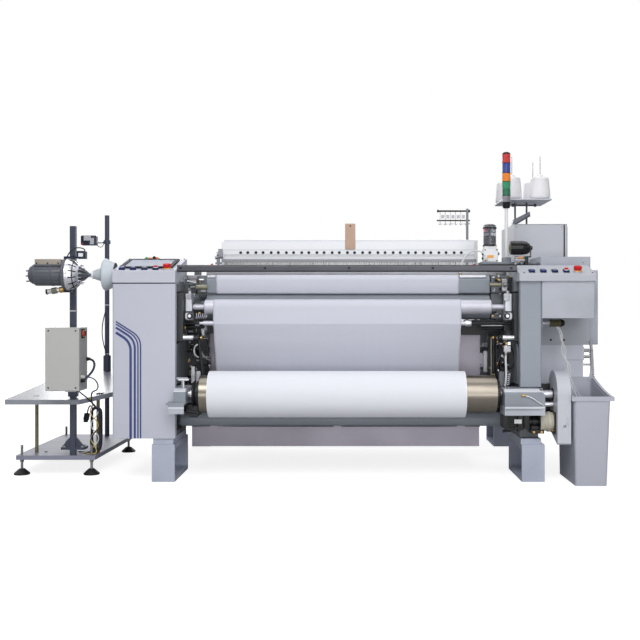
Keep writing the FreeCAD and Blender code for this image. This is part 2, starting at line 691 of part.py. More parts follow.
def sley_beam():
    """Rocking shaft, three swords, the beam that carries the reed, and the main nozzle."""
    shaft = rod("x", left_outer + 4, right_outer - 4, rocking_y, rocking_z, rocking_radius)
    beam = slab([(545, 925, 6), (545, 985, 6), (562, 985), (562, 975), (584, 975), (584, 985), (604, 985, 4),
                 (604, 950, 6), (590, 925, 6)], "x", -830, 800)
    swords = []
    for x in (-620, 0, 560):
        swords.append(slab([(488, 520), (545, 935), (600, 935), (552, 520)], "x", x, x + 26))
        swords.append(rod("x", x - 12, x + 38, rocking_y, rocking_z, 46))
    holder = box(-800, -760, 546, 604, 980, 1034)
    nozzle = turned([(-830, 0), (-830, 9), (-740, 9), (-715, 5), (-706, 5), (-706, 0)], "x", 566, 1034)
    return join(shaft, beam, holder, nozzle, *swords)


def reed():
    """Two baulks with flat dents between them; the fine pitch is not repeated here."""
    depth0, depth1 = 567.0, 579.0
    parts = [box(-706, 706, depth0 - 4, depth1 + 4, 976, 1000), box(-706, 706, depth0 - 2, depth1 + 2, 1116, 1132)]
    for i in range(dent_count + 4):
        x = first_dent + i * dent_pitch
        parts.append(box(x - 0.8, x + 0.8, depth0, depth1, 999, 1117))
    return join(*parts)


def harness(y, bored):
    """One heald frame: top and bottom rails, end bars, heddle rods and flat heddles."""
    thick = 12.0
    y0, y1 = y - thick / 2, y + thick / 2
    left, right = -716.0, 722.0
    rail_bottom = harness_top - harness_rail_height
    top = soft_box(-701, 707, y0, y1, rail_bottom, harness_top, 3, "x")
    parts = [top, box(-701, 707, y0, y1, 800, 850), box(left, -701, y0, y1, 780, 1232),
             box(707, right, y0, y1, 780, 1232)]
    parts.append(box(-701, 707, y - 2, y + 2, rail_bottom - 14, rail_bottom))
    parts.append(box(-701, 707, y - 2, y + 2, 850, 864))
    for i in range(dent_count + 4):
        x = first_dent + i * dent_pitch
        parts.append(box(x - 0.8, x + 0.8, y - 4, y + 4, 862, rail_bottom - 12))
    frame = join(*parts)
    if bored:
        holes = []
        for i in range(15):
            for step in (0, 40):
                holes.append(rod("y", y0 - 1, y0 + 5, -608 + i * 85.6 + step, 1173, 5))
        frame = frame.cut(Part.makeCompound(holes))
    return frame


pieces["sley_beam"] = sley_beam()
pieces["reed"] = reed()
pieces["harness_front"] = harness(harness_front_y, True)
pieces["harness_rear"] = harness(harness_rear_y, False)


def stop_motion():
    """Rails over the warp with drop wires, on posts on the side frames."""
    parts = []
    for start, end in ((-935, -905), (880, 910)):
        parts.append(box(start, end, 1060, 1150, 850, 1112))
    for y in (1075, 1105, 1135):
        parts.append(box(-906, 881, y - 3, y + 3, 1088, 1108))
    for i in range(32):
        x = first_dent + i * dent_pitch * 1.25
        parts.append(box(x - 1, x + 1, 1072, 1138, 1068, 1120))
    return join(*parts)


pieces["stop_motion"] = stop_motion()


# ---------------------------------------------------------------- drip pan, bin

def drip_pan():
    """A folded tray under the cloth, hung from the front tube, and the folded plate
    behind the web with its two lugs on the frames."""
    apron = box(-816, 681, 268, 270, 139, 247)
    floor = box(-816, 681, 268, 900, 139, 141)
    back = box(-816, 681, 898, 900, 139, 190)
    flange = box(-816, 681, 222, 270, 245, 247)
    parts = [apron, floor, back, flange]
    for x in (-700, -60, 580):
        parts.append(box(x - 20, x + 20, front_tube_y - 12, front_tube_y + 12, 247, 262))
    pan = join(*parts)
    pan = pan.cut(rod("x", left_inner, right_inner, front_tube_y, front_tube_z, front_tube_radius))
    plate = box(-746, 702, 400, 402, 480, 722)
    folds = [box(-746, 702, 400, 430, 720, 722), box(-746, 702, 400, 430, 480, 482)]
    lugs = [box(left_inner - pocket_depth, -736, 402, 408, 560, 620),
            box(692, right_inner + pocket_depth, 402, 408, 560, 620)]
    return Part.makeCompound([pan, join(plate, *folds, *lugs)])


pieces["drip_pan"] = drip_pan()


def bin_loft(grow, bottom):
    """The bin's tapered form, drawn in by a wall or not."""
    low = [(1096 - grow, -113 - grow), (1249 + grow, -113 - grow), (1249 + grow, 250 + grow), (1096 - grow, 250 + grow)]
    high = [(1088 - grow, -122 - grow), (1270 + grow, -122 - grow), (1270 + grow, 262 + grow), (1088 - grow, 262 + grow)]
    wires = []
    for corners, z in ((low, bottom), (high, 560)):
        rounded = [(x, y, 14) for x, y in corners]
        wire = outline(rounded, "z")
        wire.translate(Vector(0, 0, z))
        wires.append(wire)
    return Part.makeLoft(wires, True, True)


def waste_bin():
    """A tapered open bin, low at the front and rising to the back, with a folded rim."""
    wall = 3.0
    shape = bin_loft(0, 0).cut(bin_loft(-wall, wall))
    edge = [(-120, 424), (-60, 428), (40, 443), (150, 466), (262, 494)]
    above = slab([(-140, 424)] + edge + [(280, 500), (280, 700), (-140, 700)], "x", 1000, 1300)
    shape = shape.cut(above)
    band = [(y, z + 9) for y, z in edge] + [(y, z - 11) for y, z in reversed(edge)]
    rim = box(1076, 1282, -125, -117, 412, 434)
    back_rim = box(1084, 1282, 258, 266, 483, 503)
    return join(shape, rim, back_rim, slab(band, "x", 1268, 1282), slab(band, "x", 1084, 1091))


pieces["waste_bin"] = waste_bin()


# ---------------------------------------------------------------- pump, lamps, bobbins, selvage guide

def grease_pump():
    """A clear canister on a white base on the shelf."""
    base = soft_box(712, 792, 330, 400, 1106, 1192, 6, "z")
    canister = turned([(1192, 0), (1192, 38), (1204, 38), (1204, 33), (1286, 33), (1292, 38), (1302, 38),
                       (1308, 22), (1308, 0)], "z", 750, 365)
    return join(base, canister)


def signal_lamp():
    """Five stacked lenses on a pole and a base block."""
    block = soft_box(818, 864, 357, 403, 1106, 1134, 4, "z")
    pole = rod("z", 1134, 1378, 841, 380, 9)
    stack = [(1378, 9), (1378, 21), (1396, 21)]
    for i in range(5):
        z = 1396 + i * 56
        stack += [(z, 19), (z + 5, 19), (z + 5, 23), (z + 53, 23), (z + 56, 19)]
    stack += [(1676, 22), (1690, 19), (1695, 12), (1695, 0), (1378, 0)]
    return join(block, pole, turned(stack, "z", 841, 380))


def bobbin_rack():
    """Two slender posts on the cabinet with a plate, four spindles, a rail and a slanting foot plate."""
    posts = [soft_box(946, 956, 745, 755, 1330, 1466, 2, "z"), soft_box(1012, 1022, 745, 755, 1330, 1466, 2, "z")]
    plate = soft_box(860, 1135, 600, 955, 1466, 1472, 20, "z")
    brace = slab([(926, 1330), (942, 1330), (1032, 1384), (1026, 1392)], "y", 715, 785)
    rail = join(rod("x", 938, 1072, 750, 1450, 4), rod("x", 932, 944, 750, 1450, 9), rod("x", 1060, 1072, 750, 1450, 9))
    spindles = []
    for x in (917, 1077):
        for y in (665, 885):
            spindles.append(rod("z", 1472, 1715, x, y, 4))
            spindles.append(rod("z", 1472, 1476, x, y, 30))
    return join(*posts, plate, brace, rail, *spindles)


def thread_bobbins():
    """Four wound bobbins that stand on the spindles."""
    bobbins = []
    for x in (917, 1077):
        for y in (665, 885):
            bobbins.append(turned([(1476.3, 6), (1476.3, 50), (1484, 57), (1500, 57), (1590, 49), (1600, 42),
                                   (1600, 18), (1612, 16), (1612, 6)], "z", x, y))
    return Part.makeCompound(bobbins)


def selvage_guide():
    """A post behind the harness with thread rods at its head."""
    post = soft_box(681, 695, 833, 847, 640, 1440, 2, "z")
    parts = [post]
    for z, radius in ((1426, 4), (1371, 4), (1352, 2.5)):
        parts.append(rod("x", 518, 704, 840, z, radius))
    for i in range(5):
        parts.append(rod("z", 1352, 1426, 530 + 30 * i, 840, 2))
    return join(*parts)


def work_lamp():
    """A drum-shaped lamp head that looks along the loom, in a yoke on the right console."""
    stand = soft_box(912, 934, 241, 263, 1080, 1130, 4, "z")
    head = turned([(842, 0), (842, 31), (846, 31), (846, 36), (903, 36), (926, 33), (940, 24), (940, 0)], "x", 252, 1175)
    yoke = join(box(912, 948, 240, 264, 1126, 1132), box(943, 948, 240, 264, 1126, 1188), rod("x", 938, 952, 252, 1175, 7))
    return join(stand, head, yoke)


pieces["grease_pump"] = grease_pump()
pieces["signal_lamp"] = signal_lamp()
pieces["bobbin_rack"] = bobbin_rack()
pieces["thread_bobbins"] = thread_bobbins()
pieces["selvage_guide"] = selvage_guide()
pieces["work_lamp"] = work_lamp()


# ---------------------------------------------------------------- feeder stand

def tray_height(y):
    return tray_front_z + (tray_back_z - tray_front_z) * (y - tray_front_y) / (tray_back_y - tray_front_y)


def stand_base():
    """Base plate with four levelling feet and the rods that hold the tray up."""
    plate = slab([(-1719, 195, 8), (-1308, 195, 8), (-1296, 1040, 8), (-1719, 1040, 8)], "z", 79, 101)
    parts = [plate]
    for x, y in ((-1695, 222), (-1334, 222), (-1322, 1012), (-1695, 1012)):
        pad = turned([(0, 0), (0, 40), (8, 40), (26, 20), (32, 12), (32, 0)], "z", x, y)
        parts += [pad, rod("z", 30, 152, x, y, 6), hexagon("z", 66, 79, x, y, 19)]
    for x, y in ((-1643, 300), (-1328, 330), (-1620, 900)):
        parts.append(rod("z", 100, tray_height(y) - 8, x, y, 9))
    return join(*parts)


def stand_tray():
    """A folded tray that rises to the rear, with cut corners and lips all round."""
    slope = math.degrees(math.atan2(tray_back_z - tray_front_z, tray_back_y - tray_front_y))
    length = math.hypot(tray_back_z - tray_front_z, tray_back_y - tray_front_y)
    plan = [(-1766, 0), (-1385, 0), (-1232, 235), (-1232, length), (-1640, length)]
    plate = slab(plan, "z", -25, 0)
    wall = 4.0
    centre_x, centre_y = -1480.0, length / 2
    pulled = []
    for x, y in plan:
        pulled.append((x + (wall if x < centre_x else -wall), y + (wall if y < centre_y else -wall)))
    under = slab(pulled, "z", -26, -4)
    tray = plate.cut(under)
    tray.rotate(Vector(0, 0, 0), Vector(1, 0, 0), slope)
    tray.translate(Vector(0, tray_front_y, tray_front_z))
    half = post_size / 2 + 1
    tray = tray.cut(box(post_x - half, post_x + half, post_y - half, post_y + half, 300, 500))
    tray = tray.cut(rod("z", 300, 600, round_post_x, round_post_y, 15))
    return tray.cut(rod("z", 300, 500, cable_hole_x, cable_hole_y, 9))


def feeder_posts():
    """The square post with its gusseted flange, and the round post with the sensor arm."""
    half = post_size / 2
    post = soft_box(post_x - half, post_x + half, post_y - half, post_y + half, 101, 1285, 3, "z")
    flange = soft_box(post_x - 62, post_x + 62, 201, post_y + 62, 130, 142, 6, "z")
    gussets = [slab([(post_x - 60, 142), (post_x + 60, 142), (post_x + 22, 190), (post_x - 22, 190)],
                    "y", post_y - 4, post_y + 4)]
    clamp = soft_box(post_x - 23, post_x + 23, post_y - 22, post_y + 22, 405, 432, 4, "z")
    round_post = rod("z", 101, 1412, round_post_x, round_post_y, 13.5)
    rest = tray_height(round_post_y)
    sleeve = rod("z", rest + 3, rest + 95, round_post_x, round_post_y, 22)
    collar = rod("z", 1243, 1264, round_post_x, round_post_y, 20)
    arm = rod("x", -1560, round_post_x, round_post_y, 1252, 5)
    sensor = soft_box(-1590, -1497, round_post_y - 17, round_post_y + 17, 1234, 1292, 8, "y")
    return Part.makeCompound([join(post, flange, clamp, *gussets), join(round_post, sleeve, collar, arm, sensor)])


box_x0, box_x1 = -1521.0, -1350.0
box_y0, box_y1 = 48.0, 200.0
box_z0, box_z1 = 446.0, 763.0
gland_y, gland_z = 88.0, 514.0
switch_y, switch_z = 110.0, 733.0
cable_hole_x, cable_hole_y = -1334.0, 215.0


def feeder_control_box():
    """A sheet-metal box on the square post, with a cable gland and the switch's seat."""
    body = soft_box(box_x0, box_x1, box_y0, box_y1, box_z0, box_z1, 4, "z")
    lid = soft_box(box_x0 + 5, box_x1 - 5, box_y0 - 3, box_y0, box_z0 + 5, box_z1 - 5, 4, "y")
    foot_block = box(post_x - 26, post_x + 26, 160, 200, 432, box_z0)
    seat = box(box_x1, box_x1 + 4, switch_y - 22, switch_y + 22, switch_z - 22, switch_z + 22)
    gland = turned([(box_x1, 0), (box_x1, 11), (box_x1 + 10, 11), (box_x1 + 12, 8), (box_x1 + 20, 8),
                    (box_x1 + 20, 0)], "x", gland_y, gland_z)
    shape = join(body, lid, foot_block, seat, gland)
    return shape.cut(rod("x", box_x1 - 10, box_x1 + 5, switch_y, switch_z, 5 + running_gap))


pieces["stand_base"] = stand_base()
pieces["stand_tray"] = stand_tray()
pieces["feeder_posts"] = feeder_posts()
pieces["feeder_control_box"] = feeder_control_box()
knob_start = box_x1 + 4.5
pieces["isolator_knob"] = join(rod("x", box_x1 - 8, knob_start, switch_y, switch_z, 5),
                               rod("x", knob_start, knob_start + 6, switch_y, switch_z, 14),
                               box(knob_start, knob_start + 14, switch_y - 4, switch_y + 4, switch_z - 13, switch_z + 13))


def feeder_body():
    """Motor housing, end cap, top cover, fixed flange and the drum on the centre shaft."""
    housing = turned([(-1617, 0), (-1617, 34), (-1606, 46), (-1588, 46), (-1588, 56), (-1440, 56), (-1440, 83),
                      (-1428, 83), (-1428, 12), (-1396, 12), (-1396, 37), (-1348, 35), (-1325, 24),
                      (-1307, 10), (-1307, 0)], "x", feeder_y, feeder_z)
    cover = soft_box(-1580, -1446, feeder_y - 40, feeder_y + 40, feeder_z + 30, feeder_z + 92, 10, "x")
    bracket = box(-1500, -1446, 145, 200, 1004, 1058)
    tie = box(-1447, -1430, 186, 200, 1004, 1058)
    return join(housing, cover, bracket, tie)


def feeder_winder():
    """The winding disc that turns on the feeder's centre shaft."""
    disc = turned([(-1427.4, 12.1), (-1427.4, 78), (-1420, 84), (-1408, 80), (-1404, 40), (-1396.6, 30),
                   (-1396.6, 12.1)], "x", feeder_y, feeder_z)
    return disc


def balloon_cone():
    """A narrow cone that opens into a wide bell between the feeder and the loom, on its own arm."""
    shell = turned([(-1300, 18), (-1243, 38), (-1241, 72), (-1237, 79), (-1230, 81), (-1182, 63), (-1180, 60),
                    (-1182, 59), (-1230, 77), (-1234, 75), (-1237, 70), (-1239, 34), (-1300, 14)],
                   "x", feeder_y, feeder_z)
    post_side = post_x + post_size / 2
    arm = box(-1241, -1231, feeder_y + 74, 226, feeder_z - 8, feeder_z + 8)
    cross = box(post_side, -1231, 212, 226, feeder_z - 10, feeder_z + 10)
    return join(shell, arm, cross)


pieces["feeder_body"] = feeder_body()
pieces["feeder_winder"] = feeder_winder()
pieces["balloon_cone"] = balloon_cone()


# ---------------------------------------------------------------- cable and its hank

cable_length_step = 3.0


def tangent_route(points):
    """Straight runs joined by arcs that each take 0.45 of the shorter run beside them."""
    edges = []
    radii = []
    last = points[0]
    for before, here, after in zip(points, points[1:], points[2:]):
        back, ahead = before - here, after - here
        reach = 0.45 * min(back.Length, ahead.Length)
        half_turn = (math.pi - back.getAngle(ahead)) / 2
        radius = reach / math.tan(half_turn)
        radii.append(radius)
        start = here + back.normalize() * reach
        end = here + ahead.normalize() * reach
        middle = here + (back + ahead).normalize() * (radius / math.cos(half_turn) - radius)
        edges.append(Part.LineSegment(last, start).toShape())
        edges.append(Part.Arc(start, middle, end).toShape())
        last = end
    edges.append(Part.LineSegment(last, points[-1]).toShape())
    return edges, radii


hank_loops = 5
hank_right, hank_left = -1303.0, -1353.0
hank_front = 280.0
hank_step = 8.0
cable_in = [Vector(box_x1 + 20, gland_y, gland_z), Vector(-1292, 88, 514), Vector(-1270, 112, 475),
            Vector(-1290, 165, 440), Vector(cable_hole_x, cable_hole_y, 430),
            Vector(cable_hole_x, cable_hole_y, 366), Vector(-1312, 264, 338),
            Vector(hank_right, hank_front, 300), Vector(hank_right, hank_front, 240)]
hank_end_y = hank_front + hank_step * (hank_loops - 0.5)
cable_out = [Vector(hank_left, hank_end_y, 290), Vector(hank_left, hank_end_y, 340),
             Vector(-1362, 272, 354), Vector(-1366, 256, 312)]


def hank_edges():
    """Hanging loops: straight runs joined by half circles, each loop one step behind
    the last; their tops and bottoms lie unevenly."""
    edges = []
    middle_x = (hank_right + hank_left) / 2
    radius_x = (hank_right - hank_left) / 2
    right_z = cable_in[-1].z
    for i in range(hank_loops):
        y = hank_front + hank_step * i
        low = 140 - 7 * math.cos(1.7 * i)
        high = 312 + 6 * math.sin(2.1 * i) if i < hank_loops - 1 else cable_out[0].z
        half = hank_step / 2
        drop = math.hypot(radius_x, half / 2)
        edges.append(Part.LineSegment(Vector(hank_right, y, right_z), Vector(hank_right, y, low)).toShape())
        edges.append(Part.Arc(Vector(hank_right, y, low), Vector(middle_x, y + half / 2, low - drop),
                              Vector(hank_left, y + half, low)).toShape())
        edges.append(Part.LineSegment(Vector(hank_left, y + half, low), Vector(hank_left, y + half, high)).toShape())
        if i < hank_loops - 1:
            edges.append(Part.Arc(Vector(hank_left, y + half, high), Vector(middle_x, y + 1.5 * half, high + drop),
                                  Vector(hank_right, y + hank_step, high)).toShape())
        right_z = high
    return edges


def least_gap(wire):
    """The smallest space between two stretches of the cable that aren't neighbours."""
    points = wire.discretize(Distance=cable_length_step)
    apart = 12
    nearest = 1e9
    for i, point in enumerate(points):
        for other in points[i + apart:]:
            nearest = min(nearest, point.distanceToPoint(other))
    return nearest - 2 * cable_radius


def cable_hank():
    """The cable from the box's gland through the tray, its hank, and its free end."""
    into, radii_in = tangent_route(cable_in)
    out, radii_out = tangent_route(cable_out)
    wire = Part.Wire(into + hank_edges() + out)
    section = Part.Wire(Part.makeCircle(cable_radius, cable_in[0], Vector(1, 0, 0)))
    cable = wire.makePipeShell([section], True, False)
    expected = math.pi * cable_radius ** 2 * wire.Length
    print("cable length", round(wire.Length), "volume ratio", round(cable.Volume / expected, 3))
    print("bend radii", [round(radius) for radius in radii_in + radii_out], "least gap", round(least_gap(wire), 2))
    return cable


def cable_connector():
    """The plug body on the cable's free end, in line with its last run."""
    body = join(soft_box(-14, 14, -9, 9, 0, 34, 4, "z"), soft_box(-11, 11, -7, 7, 34, 46, 3, "z"))
    along = (cable_out[-1] - cable_out[-2]).normalize()
    tilt_axis = Vector(0, 0, 1).cross(along)
    body.rotate(Vector(0, 0, 0), tilt_axis, math.degrees(Vector(0, 0, 1).getAngle(along)))
    body.translate(cable_out[-1])
    return body


pieces["cable_hank"] = cable_hank()
pieces["cable_connector"] = cable_connector()


# ---------------------------------------------------------------- buttons

button_cap = join(rod("z", -6, 8, 0, 0, button_radius), rod("z", 8, 9.5, 0, 0, button_radius - 2))
stop_head = turned([(-9, 0), (-9, 9), (11, 9), (11, stop_radius - 2), (14, stop_radius), (21, stop_radius),
                    (26, stop_radius - 6), (26, 0)], "z", 0, 0)
for i in range(4):
    pieces["left_button_%d" % (i + 1)] = tilted(button_cap, left_slope_point(left_button_x[i], left_button_y),
                                                left_slope)
    pieces["right_button_%d" % (i + 1)] = tilted(button_cap, right_slope_point(right_button_x[i], right_button_y),
                                                 right_slope)
pieces["left_stop_button"] = tilted(stop_head, left_slope_point(left_stop_x, left_button_y), left_slope)
pieces["right_stop_button"] = tilted(stop_head, right_slope_point(right_stop_x, right_button_y), right_slope)


# ---------------------------------------------------------------- output

os.makedirs("parts", exist_ok=True)
to_origin = Vector(-machine_middle_x, -machine_middle_y, 0)
whole = FreeCAD.BoundBox()
for name, shape in pieces.items():
    shape.translate(to_origin)
    shape.exportStep("parts/%s.step" % name)
    whole.add(shape.BoundBox)
    if not shape.isValid():
        print("not valid:", name)
print(len(pieces), "pieces", whole)
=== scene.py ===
import math

import bmesh
import bpy
import numpy as np
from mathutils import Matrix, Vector


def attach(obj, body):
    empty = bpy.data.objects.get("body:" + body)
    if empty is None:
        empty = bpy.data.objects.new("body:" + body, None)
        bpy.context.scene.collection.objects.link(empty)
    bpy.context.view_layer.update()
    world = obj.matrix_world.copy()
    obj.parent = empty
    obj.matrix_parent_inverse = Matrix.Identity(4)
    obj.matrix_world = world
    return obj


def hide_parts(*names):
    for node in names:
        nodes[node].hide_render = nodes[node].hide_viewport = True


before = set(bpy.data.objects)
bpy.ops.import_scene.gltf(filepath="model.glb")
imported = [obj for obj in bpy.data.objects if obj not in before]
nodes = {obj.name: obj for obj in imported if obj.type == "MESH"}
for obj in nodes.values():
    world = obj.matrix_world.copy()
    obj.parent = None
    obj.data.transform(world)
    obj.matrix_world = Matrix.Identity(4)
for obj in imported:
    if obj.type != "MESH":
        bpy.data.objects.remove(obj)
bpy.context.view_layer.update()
print("frame loaded:", len(nodes), "nodes")

# Places are millimetres on the loom's drawing: x along the weft from the middle of the loom,
# y back from the front of its feet, z up from the floor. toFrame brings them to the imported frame.
drawing = {"shift": (224.0, -827.5, 0.0), "perMetre": 1000.0}
toFront, toRight, toTop = (0, -1, 0), (1, 0, 0), (0, 0, 1)   # the way a piece's own axis points


def toFrame(points):
    return (np.asarray(points, float) + drawing["shift"]) / drawing["perMetre"]


# ---- finishes

def seen(red, green, blue):   # a colour as the eye reads it, 0 to 255, as the light it stands for
    share = np.array((red, green, blue)) / 255.0
    light = np.where(share <= 0.04045, share / 12.92, ((share + 0.055) / 1.055) ** 2.4)
    return tuple(float(x) for x in light) + (1.0,)


def feed(tree, made, feeds):   # a socket is linked, and a plain value is set
    for key, value in feeds.items():
        if isinstance(value, bpy.types.NodeSocket):
            tree.links.new(value, made.inputs[key])
        else:
            made.inputs[key].default_value = value


def addNode(tree, kind, feeds=None, **settings):
    made = tree.nodes.new("ShaderNode" + kind)
    for key, value in settings.items():
        setattr(made, key, value)
    feed(tree, made, feeds or {})
    return made


def maths(tree, operation, *values):
    return addNode(tree, "Math", dict(enumerate(values)), operation=operation).outputs["Value"]


def newFinish(name):
    material = bpy.data.materials.new(name)
    material.use_nodes = True
    return material, material.node_tree, material.node_tree.nodes["Principled BSDF"]


def spot(tree, stretch=(1, 1, 1), source="Object"):   # where on the piece, in metres, stretched
    coordinate = addNode(tree, "TexCoord").outputs[source]
    return addNode(tree, "Mapping", {"Vector": coordinate, "Scale": stretch}).outputs["Vector"]


def cloud(tree, place, scale, detail=3.0):
    return addNode(tree, "TexNoise", {"Vector": place, "Scale": scale, "Detail": detail}).outputs["Fac"]


def between(tree, value, low, high, start=0.3, end=0.7):
    feeds = {"Value": value, "From Min": start, "From Max": end, "To Min": low, "To Max": high}
    return addNode(tree, "MapRange", feeds).outputs["Result"]


def ramp(tree, value, stops, hard=False):   # stops: (place from 0 to 1, colour)
    made = addNode(tree, "ValToRGB", {"Fac": value})
    made.color_ramp.interpolation = "CONSTANT" if hard else "LINEAR"
    elements = made.color_ramp.elements
    while len(elements) < len(stops):
        elements.new(1.0)
    for element, (place, colour) in zip(elements, stops):
        element.position = place
    for element, (place, colour) in zip(elements, stops):
        element.color = colour
    return made.outputs["Color"]


def darker(colour, share):
    return tuple(c * share for c in colour[:3]) + (1.0,)


def bumped(tree, shader, height, strength, distance=0.001):
    bump = addNode(tree, "Bump", {"Height": height, "Strength": strength, "Distance": distance})
    tree.links.new(bump.outputs["Normal"], shader.inputs["Normal"])


# Colours are given as the eye reads them. Paint, metal and plastic share one recipe: a cloudy change
# of shade, a roughness that follows a second cloud, and a grain whose stretch makes it round specks,
# brush lines or turning rings.
def makeFinish(name, colour, shade=0.05, patch=3.0, rough=(0.32, 0.44), metal=0.0, grain=500.0, bump=0.04,
        stretch=(1, 1, 1), coat=0.0, grime=0.0, grimeColour=(60, 56, 50), shine=0.5):
    material, tree, shader = newFinish(name)
    colour = seen(*colour)
    patches = cloud(tree, spot(tree), patch, 5.0)
    fine = cloud(tree, spot(tree, stretch), grain, 2.0)
    stops = [(0.30, darker(colour, 1 - shade)), (0.72, darker(colour, 1 + shade))]
    if grime > 0:
        stops = [(0.30 - 0.02 * grime, seen(*grimeColour)),
            (0.30 + 0.12 * grime, darker(colour, 1 - shade))] + stops[1:]
    feed(tree, shader, {"Base Color": ramp(tree, patches, stops), "Roughness": between(tree, fine, *rough),
        "Metallic": metal, "Specular IOR Level": shine, "Coat Weight": coat, "Coat Roughness": 0.2})
    bumped(tree, shader, fine, bump)
    return material


# One solid with several finishes along one axis. bands: (from this place in mm on, colour, rough, metal)
def makeBanded(name, axis, bands, grain=500.0, bump=0.04, stretch=(1, 1, 1)):
    material, tree, shader = newFinish(name)
    places = [toFrame((b[0],) * 3)[axis] for b in bands]
    first, last = places[1] - 0.02, places[-1] + 0.02   # the ramp has 256 steps: keep its reach short
    parts = addNode(tree, "SeparateXYZ", {"Vector": spot(tree)})
    along = between(tree, parts.outputs[axis], 0.0, 1.0, first, last)
    shares = [0.0] + [(p - first) / (last - first) for p in places[1:]]
    tints = ramp(tree, along, [(s, seen(*b[1])) for s, b in zip(shares, bands)], True)
    facts = ramp(tree, along, [(s, (b[2], b[3], 0, 1)) for s, b in zip(shares, bands)], True)
    split = addNode(tree, "SeparateColor", {"Color": facts})
    fine = cloud(tree, spot(tree, stretch), grain, 2.0)
    patches = between(tree, cloud(tree, spot(tree), 6.0), 0.90, 1.08)
    mixed = addNode(tree, "VectorMath", {0: tints, "Scale": patches}, operation="SCALE")
    feed(tree, shader, {"Base Color": mixed.outputs["Vector"], "Roughness": split.outputs["Red"],
        "Metallic": split.outputs["Green"]})
    bumped(tree, shader, fine, bump)
    return material


castGrey, darkCast, blackOxide = (112, 117, 122), (60, 63, 66), (30, 31, 34)
steelBright, steelDull = (205, 206, 210), (150, 151, 156)
acrossRings, acrossBrush = (1.0, 0.02, 0.02), (0.03, 1.0, 1.0)

coverPaint = makeFinish("coverPaint", (190, 193, 206), 0.025, 1.6, (0.34, 0.46), grain=420, bump=0.05,
    coat=0.12)
consolePaint = makeFinish("consolePaint", (196, 199, 210), 0.02, 1.8, (0.4, 0.52), grain=420, bump=0.05,
    shine=0.1)
columnPaint = makeFinish("columnPaint", (143, 150, 161), 0.03, 1.8, (0.36, 0.5), grain=420, bump=0.06,
    coat=0.08)
cabinetPaint = makeFinish("cabinetPaint", (186, 189, 197), 0.03, 1.5, (0.36, 0.5), grain=420, bump=0.05,
    coat=0.08)
castPaint = makeFinish("castPaint", castGrey, 0.16, 5.0, (0.42, 0.6), grain=260, bump=0.30, grime=0.5)
beamPaint = makeFinish("beamPaint", (138, 145, 154), 0.06, 3.0, (0.36, 0.5), grain=360, bump=0.08)
guardPaint = makeFinish("guardPaint", (195, 198, 206), 0.03, 1.8, (0.36, 0.5), grain=420, bump=0.06,
    coat=0.08)
darkPaint = makeFinish("darkPaint", darkCast, 0.3, 9.0, (0.4, 0.6), 0.2, 300, 0.2)
ringSteel = makeFinish("ringSteel", (196, 196, 207), 0.05, 8.0, (0.38, 0.52), 0.35, 900, 0.05, acrossRings)
brushSteel = makeFinish("brushSteel", (158, 153, 165), 0.14, 2.5, (0.36, 0.52), 0.5, 900, 0.06, acrossBrush,
    grime=0.5, grimeColour=(132, 120, 128))
plainSteel = makeFinish("plainSteel", steelDull, 0.08, 14.0, (0.26, 0.44), 0.8, 700, 0.05)
brightSteel = makeFinish("brightSteel", (216, 217, 224), 0.05, 14.0, (0.2, 0.36), 0.7, 700, 0.03)
blackSteel = makeFinish("blackSteel", blackOxide, 0.20, 16.0, (0.30, 0.48), 0.35, 500, 0.08)
oilySteel = makeFinish("oilySteel", (88, 88, 90), 0.25, 18.0, (0.22, 0.45), 0.8, 400, 0.12, grime=1.0)
brassMetal = makeFinish("brassMetal", (190, 155, 90), 0.10, 20.0, (0.20, 0.36), 1.0, 600, 0.04)
blackPlastic = makeFinish("blackPlastic", (34, 35, 38), 0.10, 12.0, (0.4, 0.55), grain=900, bump=0.06,
    shine=0.15)
matteBlack = makeFinish("matteBlack", (44, 44, 52), 0.10, 12.0, (0.45, 0.6), grain=900, bump=0.04,
    shine=0.02)
matteNavy = makeFinish("matteNavy", (44, 54, 86), 0.10, 12.0, (0.45, 0.6), grain=900, bump=0.03, shine=0.02)
glossBlack = makeFinish("glossBlack", (14, 14, 17), 0.10, 12.0, (0.16, 0.26), grain=900, bump=0.02,
    shine=0.35)
blueBlack = makeFinish("blueBlack", (40, 46, 64), 0.10, 12.0, (0.3, 0.42), grain=900, bump=0.03, shine=0.15)
oliveSteel = makeFinish("oliveSteel", (136, 134, 116), 0.12, 6.0, (0.24, 0.4), 0.7, 700, 0.05)
redGloss = makeFinish("redGloss", (200, 44, 40), 0.05, 20.0, (0.2, 0.32), grain=700, bump=0.02, coat=0.4)
redCap = makeFinish("redCap", (198, 40, 44), 0.05, 20.0, (0.5, 0.62), grain=700, bump=0.02, shine=0.06)
yellowGloss = makeFinish("yellowGloss", (238, 168, 62), 0.05, 20.0, (0.25, 0.4), grain=700, bump=0.02)
greenGloss = makeFinish("greenGloss", (54, 150, 106), 0.05, 20.0, (0.25, 0.4), grain=700, bump=0.02)
orangeGloss = makeFinish("orangeGloss", (240, 140, 50), 0.05, 20.0, (0.25, 0.4), grain=700, bump=0.02)
whitePlastic = makeFinish("whitePlastic", (232, 233, 236), 0.03, 10.0, (0.34, 0.46), grain=600, bump=0.03)
healdWhite = makeFinish("healdWhite", (245, 247, 252), 0.02, 2.0, (0.30, 0.42), grain=800, bump=0.03,
    stretch=acrossBrush)
navyStripe = makeFinish("navyStripe", (44, 60, 122), 0.03, 8.0, (0.3, 0.4), grain=500, bump=0.03)
boxPaint = makeFinish("boxPaint", (187, 187, 185), 0.02, 2.0, (0.38, 0.5), grain=420, bump=0.05)
slatePaint = makeFinish("slatePaint", (86, 89, 98), 0.08, 8.0, (0.34, 0.48), grain=420, bump=0.10)
beigePaint = makeFinish("beigePaint", (160, 152, 142), 0.05, 6.0, (0.36, 0.5), grain=420, bump=0.06)
